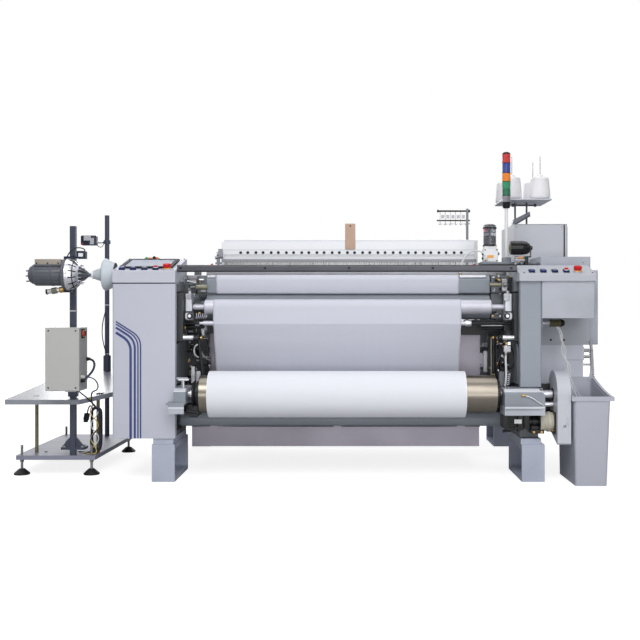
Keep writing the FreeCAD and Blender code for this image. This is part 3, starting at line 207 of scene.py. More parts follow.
creamPaint = makeFinish("creamPaint", (190, 186, 170), 0.05, 10.0, (0.34, 0.46), grain=420, bump=0.08)
trayPaint = makeFinish("trayPaint", (150, 154, 164), 0.05, 2.5, (0.22, 0.38), grain=420, bump=0.05,
    coat=0.3)
conePlastic = makeFinish("conePlastic", (192, 200, 208), 0.03, 4.0, (0.34, 0.46), grain=500, bump=0.03)
rubber = makeFinish("rubber", (24, 24, 26), 0.15, 14.0, (0.5, 0.7), grain=500, bump=0.10)
cableJacket = makeFinish("cableJacket", (44, 46, 66), 0.10, 16.0, (0.34, 0.48), grain=900, bump=0.04)
whiteHose = makeFinish("whiteHose", (226, 228, 230), 0.04, 10.0, (0.28, 0.40), grain=600, bump=0.02)
yellowJacket = makeFinish("yellowJacket", (214, 186, 84), 0.06, 10.0, (0.34, 0.46), grain=600, bump=0.02)
wood = makeFinish("wood", (196, 166, 146), 0.10, 9.0, (0.6, 0.75), grain=160, bump=0.15,
    stretch=(1, 1, 0.12))
blueGloss = makeFinish("blueGloss", (40, 66, 150), 0.05, 20.0, (0.2, 0.3), grain=700, bump=0.02, coat=0.4)
flangePaint = makeFinish("flangePaint", (96, 99, 108), 0.08, 8.0, (0.3, 0.45), 0.3, grain=500, bump=0.05)
sleevePlastic = makeFinish("sleevePlastic", (172, 174, 182), 0.04, 12.0, (0.2, 0.34), grain=300, bump=0.1)
oliveGrip = makeFinish("oliveGrip", (110, 106, 82), 0.2, 14.0, (0.5, 0.7), 0.2, 300, 0.3)
print("finishes made")


# A sine across the given direction; rate is its radians in a metre, where the node's own is 20.
def ridges(tree, place, rate, direction, feeds):
    return addNode(tree, "TexWave", {"Vector": place, "Scale": rate / 20.0, **feeds},
        bands_direction=direction, wave_profile="SIN").outputs["Fac"]


# Plain weave: two sets of threads, each a wave across the cloth, raised where they multiply.
# u and v are metres along the weft and along the warp; slow bands across follow the tension.
def makeCloth(name, colour, rate, bump, bandShade):
    material, tree, shader = newFinish(name)
    colour = seen(*colour)
    place = spot(tree, source="UV")
    ends, picks = [ridges(tree, place, rate, direction, {"Distortion": 0.4}) for direction in ("X", "Y")]
    weave = maths(tree, "MULTIPLY", ends, picks)
    bands = cloud(tree, spot(tree, (0.25, 3.0, 1.0), "UV"), 7.0)
    slubs = cloud(tree, spot(tree, (1.0, 24.0, 1.0), "UV"), 26.0, 2.0)
    both = between(tree, maths(tree, "ADD", bands, slubs), 0.0, 1.0, 0.7, 1.3)
    feed(tree, shader, {"Base Color": ramp(tree, both, [(0.0, darker(colour, 1 - bandShade)),
        (1.0, colour)]), "Roughness": between(tree, weave, 0.78, 0.62, 0.0, 1.0), "Sheen Weight": 0.25,
        "Sheen Roughness": 0.4})
    bumped(tree, shader, weave, bump, 0.0003)
    return material


# Yarn laid side by side: fine ridges along one direction of the UV map, with painted shade in the grooves
# between them, mixed with a random change of tone.
def makeYarn(name, colour, rate, direction, bump):
    material, tree, shader = newFinish(name)
    colour = seen(*colour)
    waves = ridges(tree, spot(tree, source="UV"), rate, direction, {"Distortion": 1.5, "Detail": 1.0})
    # where the ridges dip, the colour darkens as painted shade
    mixed = maths(tree, "MULTIPLY_ADD", waves, cloud(tree, spot(tree), 14.0), 0.2)
    feed(tree, shader, {"Base Color": ramp(tree, mixed, [(0.2, darker(colour, 0.82)), (0.6, colour)]),
        "Roughness": 0.62, "Sheen Weight": 0.3})
    bumped(tree, shader, waves, bump, 0.0008)
    return material


# Thin upright pieces side by side, too fine to draw each: light and dark by a wave along the weft.
def makeStriped(name, rate, dark, light):
    material, tree, shader = newFinish(name)
    waves = ridges(tree, spot(tree), rate, "X", {"Distortion": 1.2, "Detail": 2.0, "Detail Scale": 0.4})
    feed(tree, shader, {"Base Color": ramp(tree, waves, [(0.15, seen(*dark)), (0.7, seen(*light))]),
        "Roughness": between(tree, waves, 0.55, 0.35, 0.0, 1.0), "Metallic": 0.3})
    bumped(tree, shader, waves, 0.3, 0.0006)
    return material


# A thin clear or smoked wall; bend is its refractive index.
def makeClear(name, colour, rough, alpha, bend):
    material, tree, shader = newFinish(name)
    colour = seen(*colour)
    haze = cloud(tree, spot(tree), 30.0)
    feed(tree, shader, {"Base Color": ramp(tree, haze, [(0.3, darker(colour, 0.9)), (0.7, colour)]),
        "Roughness": between(tree, haze, rough, rough + 0.12), "Transmission Weight": alpha, "IOR": bend})
    return material


# The web and the roll are one cloth: the web's darker colour is painted shade, and the roll's colour is the
# cloth's own.
shadedWebCloth = makeCloth("shadedWebCloth", (208, 210, 222), 1800.0, 0.12, 0.035)
rollWhite = makeCloth("rollWhite", (230, 232, 240), 1800.0, 0.10, 0.02)
warpWhite = makeYarn("warpWhite", (232, 232, 236), 900.0, "X", 0.3)
bobbinYarn = makeYarn("bobbinYarn", (244, 243, 247), 420.0, "Y", 0.5)
# The touch panel's glass reflects next to nothing at this index; its light blue-grey colour is a painted
# reflection of the white surroundings.
panelGlass = makeClear("panelGlass", (150, 157, 174), 0.30, 0.0, 1.06)
smoked = makeClear("smoked", (228, 230, 236), 0.05, 0.92, 1.12)


# ---- shapes: each is (vertices, quads, end faces), in mm on the drawing

# A grid of points, rows by columns, joined into quads; closed joins the last column to the first.
def gridShape(grid, closed=False, capped=False, looped=False):
    rows, columns = grid.shape[:2]
    index = np.arange(rows * columns).reshape(rows, columns)
    ends = [index[0], index[-1]] if capped else []
    if closed:
        index = np.concatenate([index, index[:, :1]], 1)
    if looped:
        index = np.concatenate([index, index[:1]], 0)
    quads = np.stack([index[:-1, :-1], index[:-1, 1:], index[1:, 1:], index[1:, :-1]], -1).reshape(-1, 4)
    return grid.reshape(-1, 3), quads, ends


def circle(steps):   # the angles of a full turn
    return np.linspace(0, 2 * math.pi, steps, endpoint=False)


# A profile of (height, radius) turned round z: x = r cos t, y = r sin t, z = height.
def turned(profile, steps=40):
    height, radius = np.array(profile, float).T[:, :, None]
    turn = circle(steps) + math.pi / steps
    return gridShape(np.stack([radius * np.cos(turn), radius * np.sin(turn), height + 0 * turn], -1), True,
        True)


# Each corner gives way to an arc tangent to both sides; its centre lies on the bisector.
def softOutline(corners, radius):
    here = np.array(corners, float)
    reach = np.broadcast_to(np.asarray(radius, float), len(here))
    back, ahead = np.roll(here, 1, 0) - here, np.roll(here, -1, 0) - here
    back /= np.linalg.norm(back, axis=1)[:, None]
    ahead /= np.linalg.norm(ahead, axis=1)[:, None]
    half = np.arccos(np.clip((back * ahead).sum(1), -1, 1)) / 2
    middle = back + ahead
    middle /= np.linalg.norm(middle, axis=1)[:, None]
    centre = here + middle * (reach / np.sin(half))[:, None]
    start = here + back * (reach / np.tan(half))[:, None] - centre
    end = here + ahead * (reach / np.tan(half))[:, None] - centre
    first = np.arctan2(start[:, 1], start[:, 0])
    turn = (np.arctan2(end[:, 1], end[:, 0]) - first + math.pi) % (2 * math.pi) - math.pi
    angle = first[:, None] + turn[:, None] * np.linspace(0, 1, 5)
    arc = centre[:, None] + reach[:, None, None] * np.stack([np.cos(angle), np.sin(angle)], -1)
    return arc.reshape(-1, 2)


# A flat outline (x, y) raised from z = low to z = high.
def raised(outline, low, high):
    flat = np.array(outline, float)
    rings = [np.column_stack([flat, np.full(len(flat), z)]) for z in (low, high)]
    return gridShape(np.stack(rings), True, True)


def block(x0, x1, y0, y1, z0, z1):
    return raised([(x0, y0), (x1, y0), (x1, y1), (x0, y1)], z0, z1)


# An outline on the plane square to an axis, carried along that axis: axis 0 takes (y, z), 1 takes (x, z).
def slab(outline, axis, start, end):
    points, quads, ends = raised(outline, start, end)
    order = {0: (2, 0, 1), 1: (0, 2, 1), 2: (0, 1, 2)}[axis]
    return points[:, order], quads, ends


# The shape's own z axis is leant onto a direction and its origin put at a point.
def placed(shape, point, direction=toTop, spin=0.0):
    lean = Vector(toTop).rotation_difference(Vector(direction).normalized()).to_matrix()
    c, s = math.cos(spin), math.sin(spin)
    turn = np.array([[c, -s, 0], [s, c, 0], [0, 0, 1]])
    return shape[0] @ (np.array(lean) @ turn).T + point, shape[1], shape[2]


def lathe(profile, point, direction=toTop, steps=40):
    return placed(turned(profile, steps), point, direction)


def repeated(shape, offsets):
    offsets = np.asarray(offsets, float)
    points = (shape[0][None] + offsets[:, None]).reshape(-1, 3)
    step = len(shape[0]) * np.arange(len(offsets))
    quads = (shape[1][None] + step[:, None, None]).reshape(-1, 4)
    ends = [end + int(s) for s in step for end in shape[2]]
    return points, quads, ends


def gathered(shapes):
    steps = np.cumsum([0] + [len(s[0]) for s in shapes[:-1]])
    points = np.concatenate([s[0] for s in shapes])
    quads = np.concatenate([s[1] + k for s, k in zip(shapes, steps)])
    return points, quads, [end + int(k) for s, k in zip(shapes, steps) for end in s[2]]


# A round section carried along a path; each ring stands square to the path, its first side turned
# towards the given reference direction.
def pipe(path, radius, reference=toTop, sides=10):
    path = np.array(path, float)
    ahead = np.gradient(path, axis=0)
    ahead /= np.linalg.norm(ahead, axis=1)[:, None]
    side = np.cross(ahead, reference)
    side /= np.maximum(np.linalg.norm(side, axis=1), 1e-9)[:, None]
    up = np.cross(side, ahead)
    turn = circle(sides)[None, :, None]
    radius = np.broadcast_to(np.asarray(radius, float), len(path))[:, None, None]
    return gridShape(path[:, None] + radius * (side[:, None] * np.cos(turn) + up[:, None] * np.sin(turn)),
        True, True)


def rod(start, end, radius, sides=20, chamfer=0.8):
    start, end = np.array(start, float), np.array(end, float)
    length = float(np.linalg.norm(end - start))
    profile = [(0, 0), (0, radius - chamfer), (chamfer, radius), (length - chamfer, radius),
        (length, radius - chamfer), (length, 0)]
    return lathe(profile, start, end - start, sides)


# A coil spring: x = R cos t, y = R sin t, z = pitch t, with its ends drawn flat.
def spring(start, end, radius, wire, turns):
    length = float(np.linalg.norm(np.subtract(end, start)))
    t = np.linspace(0, 1, int(turns * 16))
    flat = np.clip(1.12 * t - 0.06, 0, 1)
    path = np.column_stack([radius * np.cos(2 * math.pi * turns * t),
        radius * np.sin(2 * math.pi * turns * t), length * flat])
    return placed(pipe(path, wire, sides=8), start, np.subtract(end, start))


def hexHead(at, direction, across, height):
    r = across / math.sqrt(3)
    head = turned([(0, 0), (0, r), (0.8 * height, r), (height, 0.86 * r), (height, 0)], 6)
    washer = turned([(-1.2, 0), (-1.2, 1.25 * r), (0.3, 1.25 * r), (0.3, 0)], 20)
    return gathered([placed(head, at, direction), placed(washer, at, direction)])


def screw(at, direction, radius, height=3.0):   # a round head with a hex socket
    return lathe([(0, 0), (0, radius), (0.7 * height, radius), (height, 0.8 * radius),
        (height, 0.45 * radius), (0.4 * height, 0.45 * radius), (0.4 * height, 0)], at, direction, 16)


def enter(name, data, material, body, stands):   # the piece's place in the scene and on the CAD
    data.materials.append(material)
    piece = bpy.data.objects.new(name, data)
    bpy.context.scene.collection.objects.link(piece)
    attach(piece, body)
    if stands:
        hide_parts(*stands)
    return piece


def addPiece(name, shapes, material, body, slot, stands=(), bevel=0.0, sharp=35.0, uv=None):
    points, quads, ends = gathered(shapes)
    mesh = bpy.data.meshes.new(name)
    mesh.from_pydata(toFrame(points).tolist(), [], quads.tolist() + [list(map(int, end)) for end in ends])
    if uv is not None:
        loops = np.zeros(len(mesh.loops), np.int32)
        mesh.loops.foreach_get("vertex_index", loops)
        mesh.uv_layers.new(name="UVMap").data.foreach_set("uv", np.asarray(uv, np.float32)[loops].ravel())
    tidy = bmesh.new()
    tidy.from_mesh(mesh)
    bmesh.ops.remove_doubles(tidy, verts=tidy.verts, dist=1e-6)
    bmesh.ops.dissolve_degenerate(tidy, dist=1e-7, edges=tidy.edges)
    bmesh.ops.recalc_face_normals(tidy, faces=tidy.faces)
    tidy.to_mesh(mesh)
    tidy.free()
    mesh.shade_smooth()
    mesh.set_sharp_from_angle(angle=math.radians(sharp))
    piece = enter(name, mesh, material, body, stands)
    if bevel > 0:
        edge = piece.modifiers.new("edge", "BEVEL")
        edge.width, edge.segments, edge.limit_method = bevel / drawing["perMetre"], 2, "ANGLE"
        edge.angle_limit = math.radians(40)
    return piece


def adder(slot):   # addPiece with one slot name passed along for a group of pieces
    def add(name, shapes, material, body="frame", stands=(), **rest):
        return addPiece(name, shapes, material, body, slot, stands, **rest)
    return add


onCover = adder("cover_paint")
onFeeder = adder("feeder_casting")
onRack = adder("rack_steel")
onPump = adder("pump_plastic")
onSteel = adder("bright_steel")
onMotor = adder("motor_black")
onHeald = adder("heald_white")
onFrame = adder("frame_paint")
onCloth = adder("cloth")
onLamp = adder("lamp_plastic")
onPost = adder("post_steel")
onBox = adder("box_paint")
onStand = adder("stand_paint")
onCabinet = adder("cabinet_paint")
onThread = adder("thread")
onRail = adder("rail_steel")
onSley = adder("beam_metal")
onCone = adder("cone_plastic")
onBeam = adder("beam_paint")


# A cable or pipe: its points are the control points of a smooth spline, in mm on the drawing.
def addLine(name, points, radius, material, stands=()):
    data = bpy.data.curves.new(name, "CURVE")
    data.dimensions = "3D"
    data.bevel_depth, data.bevel_resolution, data.resolution_u = radius / drawing["perMetre"], 3, 8
    data.use_fill_caps = True
    spline = data.splines.new("NURBS")
    spline.points.add(len(points) - 1)
    spline.points.foreach_set("co", np.column_stack([toFrame(points),
        np.ones(len(points))]).astype(np.float32).ravel())
    spline.order_u = 3
    spline.use_endpoint_u = True
    return enter(name, data, material, "frame", stands)


def dress(material, *names):   # a CAD node keeps its mesh and gets a finish
    for name in names:
        slots = nodes[name].data.materials
        slots.clear()
        slots.append(material)


# ---- stage, light and camera

stage = {
    "floorWhite": 0.42,
    "floorGlow": (0.84, 1.0),
    "glowReach": (1.6, 6.0),
    "bounce": 0.54,
    "worldFill": 0.21,
    "frontGlow": 0.42,
    "backGlow": 1.0,
    "lens": 54.5,
    "cameraAt": (0.0, -4800.0, 862.0),
    "shift": (-0.0453, -0.01875),
    "lights": (("key", (-500.0, -4300.0, 4700.0), (0.0, 0.0, 700.0), (3.6, 2.6), 177.0),
        ("fill", (1600.0, -4800.0, 2600.0), (200.0, 200.0, 700.0), (2.4, 2.4), 47.0),
        ("top", (0.0, 700.0, 4600.0), (0.0, 500.0, 0.0), (5.0, 2.5), 60.0),
        ("low", (300.0, -5200.0, 320.0), (0.0, 0.0, 540.0), (5.0, 1.0), 70.0),
        ("rear", (-1500.0, 5600.0, 3000.0), (0.0, 1200.0, 800.0), (3.5, 2.0), 100.0)),
}


def eitherRay(tree):   # rays that show the background as it is: camera, glossy and transmission
    path = addNode(tree, "LightPath").outputs
    pair = maths(tree, "MAXIMUM", path["Is Camera Ray"], path["Is Glossy Ray"])
    return maths(tree, "MAXIMUM", pair, path["Is Transmission Ray"])


def setStage():
    scene = bpy.context.scene
    scene.view_settings.view_transform = "Standard"
    world = bpy.data.worlds.new("studio")
    scene.world = world
    world.use_nodes = True
    tree = world.node_tree
    tree.nodes.clear()
    direction = addNode(tree, "SeparateXYZ", {"Vector": addNode(tree, "TexCoord").outputs["Generated"]})
    glow = between(tree, direction.outputs["Y"], stage["frontGlow"], stage["backGlow"], -0.75, 0.35)
    direct = addNode(tree, "LightPath").outputs["Is Camera Ray"]
    bright = maths(tree, "MAXIMUM", glow, direct)   # the picture's own ground is plain
    shown = addNode(tree, "Background", {"Color": (1, 1, 1, 1), "Strength": bright})
    light = addNode(tree, "Background", {"Color": (0.97, 0.98, 1.0, 1), "Strength": stage["worldFill"]})
    mixed = addNode(tree, "MixShader", {0: eitherRay(tree), 1: light.outputs[0], 2: shown.outputs[0]})
    addNode(tree, "OutputWorld", {"Surface": mixed.outputs[0]})

    floorMesh = bpy.data.meshes.new("studioFloor")
    floorMesh.from_pydata([(-40, -40, 0), (40, -40, 0), (40, 40, 0), (-40, 40, 0)], [], [(0, 1, 2, 3)])
    floor = bpy.data.objects.new("studioFloor", floorMesh)
    scene.collection.objects.link(floor)
    material, tree, shader = newFinish("paleFloor")
    tree.nodes.remove(shader)
    away = addNode(tree, "VectorMath", {0: spot(tree)}, operation="LENGTH").outputs["Value"]
    matte = addNode(tree, "BsdfDiffuse", {"Color": (stage["floorWhite"],) * 3 + (1,)})
    shine = addNode(tree, "Emission", {"Color": (1, 1, 1, 1),
        "Strength": between(tree, away, *stage["floorGlow"], *stage["glowReach"])})
    both = addNode(tree, "AddShader", {0: matte.outputs[0], 1: shine.outputs[0]})
    plain = addNode(tree, "BsdfDiffuse", {"Color": (stage["bounce"],) * 3 + (1,)})
    direct = addNode(tree, "LightPath").outputs["Is Camera Ray"]
    ends = addNode(tree, "MixShader", {0: direct, 1: plain.outputs[0], 2: both.outputs[0]})
    tree.links.new(ends.outputs[0], tree.nodes["Material Output"].inputs["Surface"])
    floorMesh.materials.append(material)

    for name, at, towards, size, power in stage["lights"]:
        lamp = bpy.data.lights.new(name, "AREA")
        lamp.shape, lamp.size, lamp.size_y, lamp.energy = "RECTANGLE", size[0], size[1], power
        holder = bpy.data.objects.new(name, lamp)
        holder.location = toFrame(at)
        aim = Vector(toFrame(towards)) - Vector(toFrame(at))
        holder.rotation_euler = aim.to_track_quat("-Z", "Y").to_euler()
        scene.collection.objects.link(holder)

    lens = bpy.data.cameras.new("camera")
    lens.lens, lens.sensor_width = stage["lens"], 36.0
    lens.shift_x, lens.shift_y = stage["shift"]
    lens.clip_end = 200.0
    camera = bpy.data.objects.new("camera", lens)
    camera.location = toFrame(stage["cameraAt"])
    camera.rotation_euler = (math.pi / 2, 0, 0)
    scene.collection.objects.link(camera)
    scene.camera = camera


setStage()
print("stage, lights and camera set")


# ---- finishes on the CAD nodes that keep their shape

dress(castPaint, "stop_motion")
dress(makeBanded("frameBands", 2, [(0, (176, 182, 200), 0.42, 0.0), (214, castGrey, 0.5, 0.1)], 300, 0.2),
    "side_frame_left", "side_frame_right")
dress(beamPaint, "cross_beams", "breast_beam", "take_up_roller", "back_roller")
dress(coverPaint, "left_cover")
dress(makeFinish("binPaint", (176, 179, 191), 0.025, 1.6, (0.34, 0.46), grain=420, bump=0.05, coat=0.12),
    "waste_bin")
dress(guardPaint, "gear_guard")
dress(consolePaint, "left_console")
# The right console has the left console's paint; this darker copy of it is painted shade.
dress(makeFinish("shadedConsolePaint", (186, 189, 197), 0.02, 1.8, (0.4, 0.52), grain=420, bump=0.05, shine=0.1),
    "right_console")
dress(columnPaint, "right_column_cover")
# On the roll housings the two narrow light bands, at the lower ledge and on the top bevel, are painted
# highlights; the housing is also lighter below the ledge and above the bevel than between them.
paintedHighlight = (206, 209, 216)
dress(makeBanded("housingHighlightBands", 2, [(300, (176, 181, 191), 0.42, 0.0), (374, paintedHighlight, 0.35, 0.0),
    (382, (139, 145, 155), 0.42, 0.0), (451, paintedHighlight, 0.35, 0.0), (467, (176, 181, 191), 0.42, 0.0)], 420,
    0.06), "roll_brackets")
dress(makeBanded("sideBands", 2, [(0, (204, 208, 220), 0.42, 0.0), (667, (172, 176, 186), 0.42, 0.0)], 420,
    0.06), "right_side_cover")
dress(cabinetPaint, "control_cabinet", "cabinet_door")
# The hand rail is black; its lighter middle band is a painted highlight.
dress(makeBanded("railHighlightBands", 2, [(1000, (44, 44, 48), 0.3, 0.4), (1047.5, (79, 79, 87), 0.34, 0.4),
    (1072.5, (40, 40, 44), 0.3, 0.4)], 300, 0.05, (0.2, 1, 1)), "hand_rail")
dress(ringSteel, "press_roller")
dress(makeBanded("barBands", 0, [(-900, blackOxide, 0.4, 0.4), (-768, (206, 206, 216), 0.4, 0.35),
    (624, blackOxide, 0.4, 0.4)], 900, 0.05, acrossRings), "guide_bars")
dress(brushSteel, "drip_pan")
dress(plainSteel, "sley_beam", "drive_pinion", "warp_beam")
dress(makeStriped("reedDentTint", 1450.0, (58, 60, 66), (190, 192, 200)), "reed")
dress(healdWhite, "harness_front", "harness_rear")
dress(trayPaint, "stand_tray")
dress(boxPaint, "feeder_control_box")
dress(conePlastic, "balloon_cone")
dress(brightSteel, "feeder_winder")
dress(redCap, "left_stop_button", "right_stop_button", "left_button_4", "right_button_4")
dress(makeBanded("knobBands", 0, [(-1362, blackOxide, 0.45, 0.0), (-1346, (190, 50, 46), 0.35, 0.0),
    (-1338, blackOxide, 0.45, 0.0)], 900, 0.03), "isolator_knob")
dress(matteNavy, *["%s_button_%d" % (side, i) for side in ("left", "right") for i in (1, 2, 3)])
dress(blackPlastic, "cable_connector")
dress(glossBlack, "work_lamp")
dress(makeBanded("rollCoreBands", 0, [(-900, steelBright, 0.25, 1.0), (-768, blackOxide, 0.4, 0.4),
    (-743, (142, 135, 125), 0.3, 0.9), (727, blackOxide, 0.4, 0.4), (748, steelBright, 0.25, 1.0),
    (1029, steelDull, 0.35, 1.0)], 900, 0.05, acrossRings), "roll_core")
dress(makeBanded("rollerBracketBands", 0, [(-900, darkCast, 0.5, 0.2),
    (-838.2, (204, 206, 214), 0.36, 0.45), (828.0, darkCast, 0.5, 0.2)], 300, 0.03), "roller_brackets")
dress(makeBanded("standBands", 2, [(0, (28, 28, 30), 0.5, 0.0), (30, steelDull, 0.35, 1.0),
    (79, (142, 144, 162), 0.42, 0.1), (101.5, (118, 112, 88), 0.4, 0.6)], 400, 0.06), "stand_base")
dress(makeFinish("postPaint", (66, 72, 88), 0.06, 6.0, (0.3, 0.42), 0.2, 500, 0.04), "feeder_posts")
dress(makeBanded("guideBands", 0, [(500, steelBright, 0.25, 1.0), (679, (120, 126, 134), 0.4, 0.3)], 500,
    0.04), "selvage_guide")
dress(makeBanded("rackBands", 2, [(1300, (58, 62, 70), 0.4, 0.3), (1465, (206, 209, 217), 0.4, 0.1),
    (1472.5, steelBright, 0.25, 1.0)], 500, 0.04), "bobbin_rack")
print("CAD nodes dressed")


# ---- cords: the control box's cable with its hank, and the short leads on the stand

cable = {
    "radius": 3.5,
    "length": 2.904,
    "into": [(-1330, 88, 514), (-1292, 88, 514), (-1270, 112, 475), (-1290, 165, 440), (-1334, 215, 430),
        (-1334, 215, 366), (-1312, 264, 338)],
    "out": [(-1362, 272, 354), (-1366, 256, 312)],
    "loops": 5,
    "right": -1303.0,
    "left": -1353.0,
    "front": 280.0,
    "step": 8.0,
    "foot": 140,
    "top": 312,
}


def hankPoints():
    # each loop is two runs and two half turns; a half turn's five points stand on a circle widened
    # by 1 / cos(22.5 degrees), which the spline touches between them
    middle, reach = (cable["right"] + cable["left"]) / 2, (cable["right"] - cable["left"]) / 2
    half = np.linspace(0, math.pi, 5)
    wide = 1 / math.cos(math.pi / 8)
    rows = []
    for i in range(cable["loops"]):
        y = cable["front"] + cable["step"] * i
        # the loops hang unevenly, and the first and the last turn in lower
        low = cable["foot"] - 7 * math.cos(1.7 * i)
        last = i == cable["loops"] - 1
        high = 290.0 if last else cable["top"] + 6 * math.sin(2.1 * i)
        top = 300.0 if i == 0 else cable["top"] + 6 * math.sin(2.1 * (i - 1))
        rows.append(np.column_stack([np.full(3, cable["right"]), np.full(3, y),
            np.linspace(top, low + 25, 3)]))
        bottom = np.column_stack([middle + reach * wide * np.cos(half), y + 4 * half / math.pi,
            low - reach * wide * np.sin(half)])
        rows.append(bottom[1:4])
        rows.append(np.column_stack([np.full(3, cable["left"]), np.full(3, y + 4),
            np.linspace(low + 25, high, 3)]))
        if not last:
            above = np.column_stack([middle - reach * wide * np.cos(half), y + 4 + 4 * half / math.pi,
                high + reach * wide * np.sin(half)])
            rows.append(above[1:4])
    return np.concatenate(rows)


controlCable = addLine("controlCable", np.concatenate([cable["into"], hankPoints(),
    [(cable["left"], 316, 340)], cable["out"]]), cable["radius"], cableJacket,
    stands=("cable_hank",))

# Each short line: its radius in mm, length in m, finish, far end and points.
leads = {
    "boxLead": (6.0, 0.196, cableJacket, "object", [(-1350, 186, 600), (-1322, 184, 600), (-1303, 168, 578),
        (-1300, 130, 548), (-1312, 100, 524), (-1332, 84, 500), (-1349, 82, 496)]),
    "postLead": (3.0, 0.281, cableJacket, "object", [(-1438, 944, 862), (-1446, 940, 830),
        (-1458, 938, 780), (-1463, 938, 725), (-1458, 938, 668), (-1446, 940, 618), (-1438, 944, 590)]),
    "sensorLead": (2.0, 0.07, blackPlastic, "object", [(-1500, 950, 1240), (-1490, 948, 1230),
        (-1478, 948, 1222), (-1466, 948, 1224), (-1458, 950, 1236), (-1455, 952, 1248)]),
}


def layLines(lines):
    for name, (radius, length, finish, far, points) in lines.items():
        line = addLine(name, points, radius, finish)


layLines(leads)
print("cords laid")


# ---- cloth, warp, bobbins

clothEdge = {"left": -695.0, "right": 575.0, "height": 1036.0, "gap": 1.3}
warpEnds = np.linspace(clothEdge["left"] + 1, clothEdge["right"] - 1, 420)
rollers = {"nose": (302.0, 1004.7, 30.0), "lip": (280.0, 946.0, 8.0), "takeUp": (295.0, 867.0, 65.0),
    "press": (189.3, 867.0, 38.0), "guide": (167.0, 784.0, 12.0), "spreader": (330.0, 335.0, 25.0),
    "roll": (30.0, 433.0, 115.0), "backRoller": (1560.0, 1000.0, 70.0), "warpBeam": (1400.0, 560.0, 290.0)}


# A sheet round rollers: tangent lines between circles, whose heading leans from the line of centres
# by the arcsine of the difference of their signed radii over the distance, and arcs between them.
def beltPath(stations, spacing):
    touches = []
    for (y0, z0, r0, s0), (y1, z1, r1, s1) in zip(stations, stations[1:]):
        heading = math.atan2(z1 - z0, y1 - y0) - math.asin((r1 * s1 - r0 * s0)
            / math.hypot(y1 - y0, z1 - z0))
        left = np.array((-math.sin(heading), math.cos(heading)))
        touches.append((np.array((y0, z0)) - r0 * s0 * left, np.array((y1, z1)) - r1 * s1 * left))
    rows = []
    for i, (start, end) in enumerate(touches):
        steps = max(2, int(np.linalg.norm(end - start) / spacing))
        rows.append(start + (end - start) * np.linspace(0, 1, steps, endpoint=False)[:, None])
        if i + 1 == len(touches):
            rows.append(end[None])
            continue
        y, z, radius, turn = stations[i + 1]
        first = math.atan2(end[1] - z, end[0] - y)
        sweep = ((math.atan2(touches[i + 1][0][1] - z, touches[i + 1][0][0] - y) - first)
            * turn) % (2 * math.pi) * turn
        angle = first + sweep * np.linspace(0, 1, max(4, int(abs(sweep) * 9)), endpoint=False)
        rows.append(np.column_stack([y + radius * np.cos(angle), z + radius * np.sin(angle)]))
    return np.concatenate(rows)


def normals(path):
    ahead = np.gradient(path, axis=0)
    return np.column_stack([-ahead[:, 1], ahead[:, 0]]) / np.linalg.norm(ahead, axis=1)[:, None]


def station(name, turn):
    y, z, radius = rollers[name]
    return y, z, radius + clothEdge["gap"], turn


def clothWeb():
    path = beltPath([(440.0, clothEdge["height"], 0.0, 0), station("nose", 1), station("lip", 1),
        station("takeUp", -1), station("press", 1), station("guide", 1), station("spreader", -1),
        station("roll", -1)], 14.0)
    run = np.concatenate([[0], np.cumsum(np.linalg.norm(np.diff(path, axis=0), axis=1))])
    across = np.linspace(clothEdge["left"], clothEdge["right"], 128)
    x, s = np.meshgrid(across, run)
    # the edges wander by a fraction of a millimetre and the web ripples lengthwise under tension
    edge = np.clip((np.abs(x - across.mean()) - 600) / 35, 0, 1)
    x = x + np.sign(x) * edge * (0.5 * np.sin(s / 23.0) + 0.4 * np.sin(s / 7.1)) - np.sign(x) * 0.6
    ripple = 0.22 * np.sin(x / 19.0 + 0.6 * np.sin(s / 210.0)) + 0.12 * np.sin(x / 7.3)
    normal = normals(path)
    grid = np.stack([x, path[:, :1] + ripple * normal[:, :1], path[:, 1:] + ripple * normal[:, 1:]], -1)
    web = onCloth("clothWeb", [gridShape(grid)], shadedWebCloth, stands=("cloth_web",),
        uv=np.stack([x, s], -1).reshape(-1, 2) / 1000, sharp=60)
    wall = web.modifiers.new("wall", "SOLIDIFY")
    wall.thickness, wall.offset = 0.0007, 0.0


def woundCloth():
    # the turns' edges: the radius steps in from the outer turn while each turn's end wanders
    y, z, outer = rollers["roll"]
    core, layer = 93.3, np.arange(24)
    turns = np.linspace(outer, core, len(layer))
    wander = 0.5 * np.sin(2.3 * layer) + 0.3 * np.sin(5.1 * layer)
    soft = np.where(layer == 0, 1.4, 0.0)
    left = np.column_stack([clothEdge["left"] + 0.9 + wander + soft, turns])[::-1]
    middle = np.column_stack([np.linspace(clothEdge["left"] + 4, clothEdge["right"] - 4, 60),
        np.full(60, outer)])
    right = np.column_stack([clothEdge["right"] - 0.9 + wander - soft, turns])
    profile = np.concatenate([left, middle, right])
    along = np.concatenate([[0], np.cumsum(np.linalg.norm(np.diff(profile, axis=0), axis=1))])
    turn = circle(120)
    radius = profile[:, 1:] + np.where(profile[:, 1:] > outer - 1,
        0.25 * np.sin(3 * turn + profile[:, :1] / 90), 0)
    radius = np.minimum(radius, outer)
    grid = np.stack([profile[:, :1] + 0 * turn, y + radius * np.cos(turn), z + radius * np.sin(turn)], -1)
    uv = np.stack([along[:, None] + 0 * turn, outer * turn + 0 * along[:, None]], -1).reshape(-1, 2) / 1000
    onCloth("clothRoll", [gridShape(grid, closed=True, looped=True)], rollWhite, "cloth_roll",
        ("cloth_winding",), uv=uv, sharp=50)
    selvage = [lathe([(0, 108), (0, outer), (2.2, outer + 0.2), (2.2, 108)], (x, y, z), toRight, 96)
        for x in (clothEdge["left"] - 0.3, clothEdge["right"] - 1.9)]
    onCloth("rollSelvages", selvage, healdWhite, "cloth_roll")


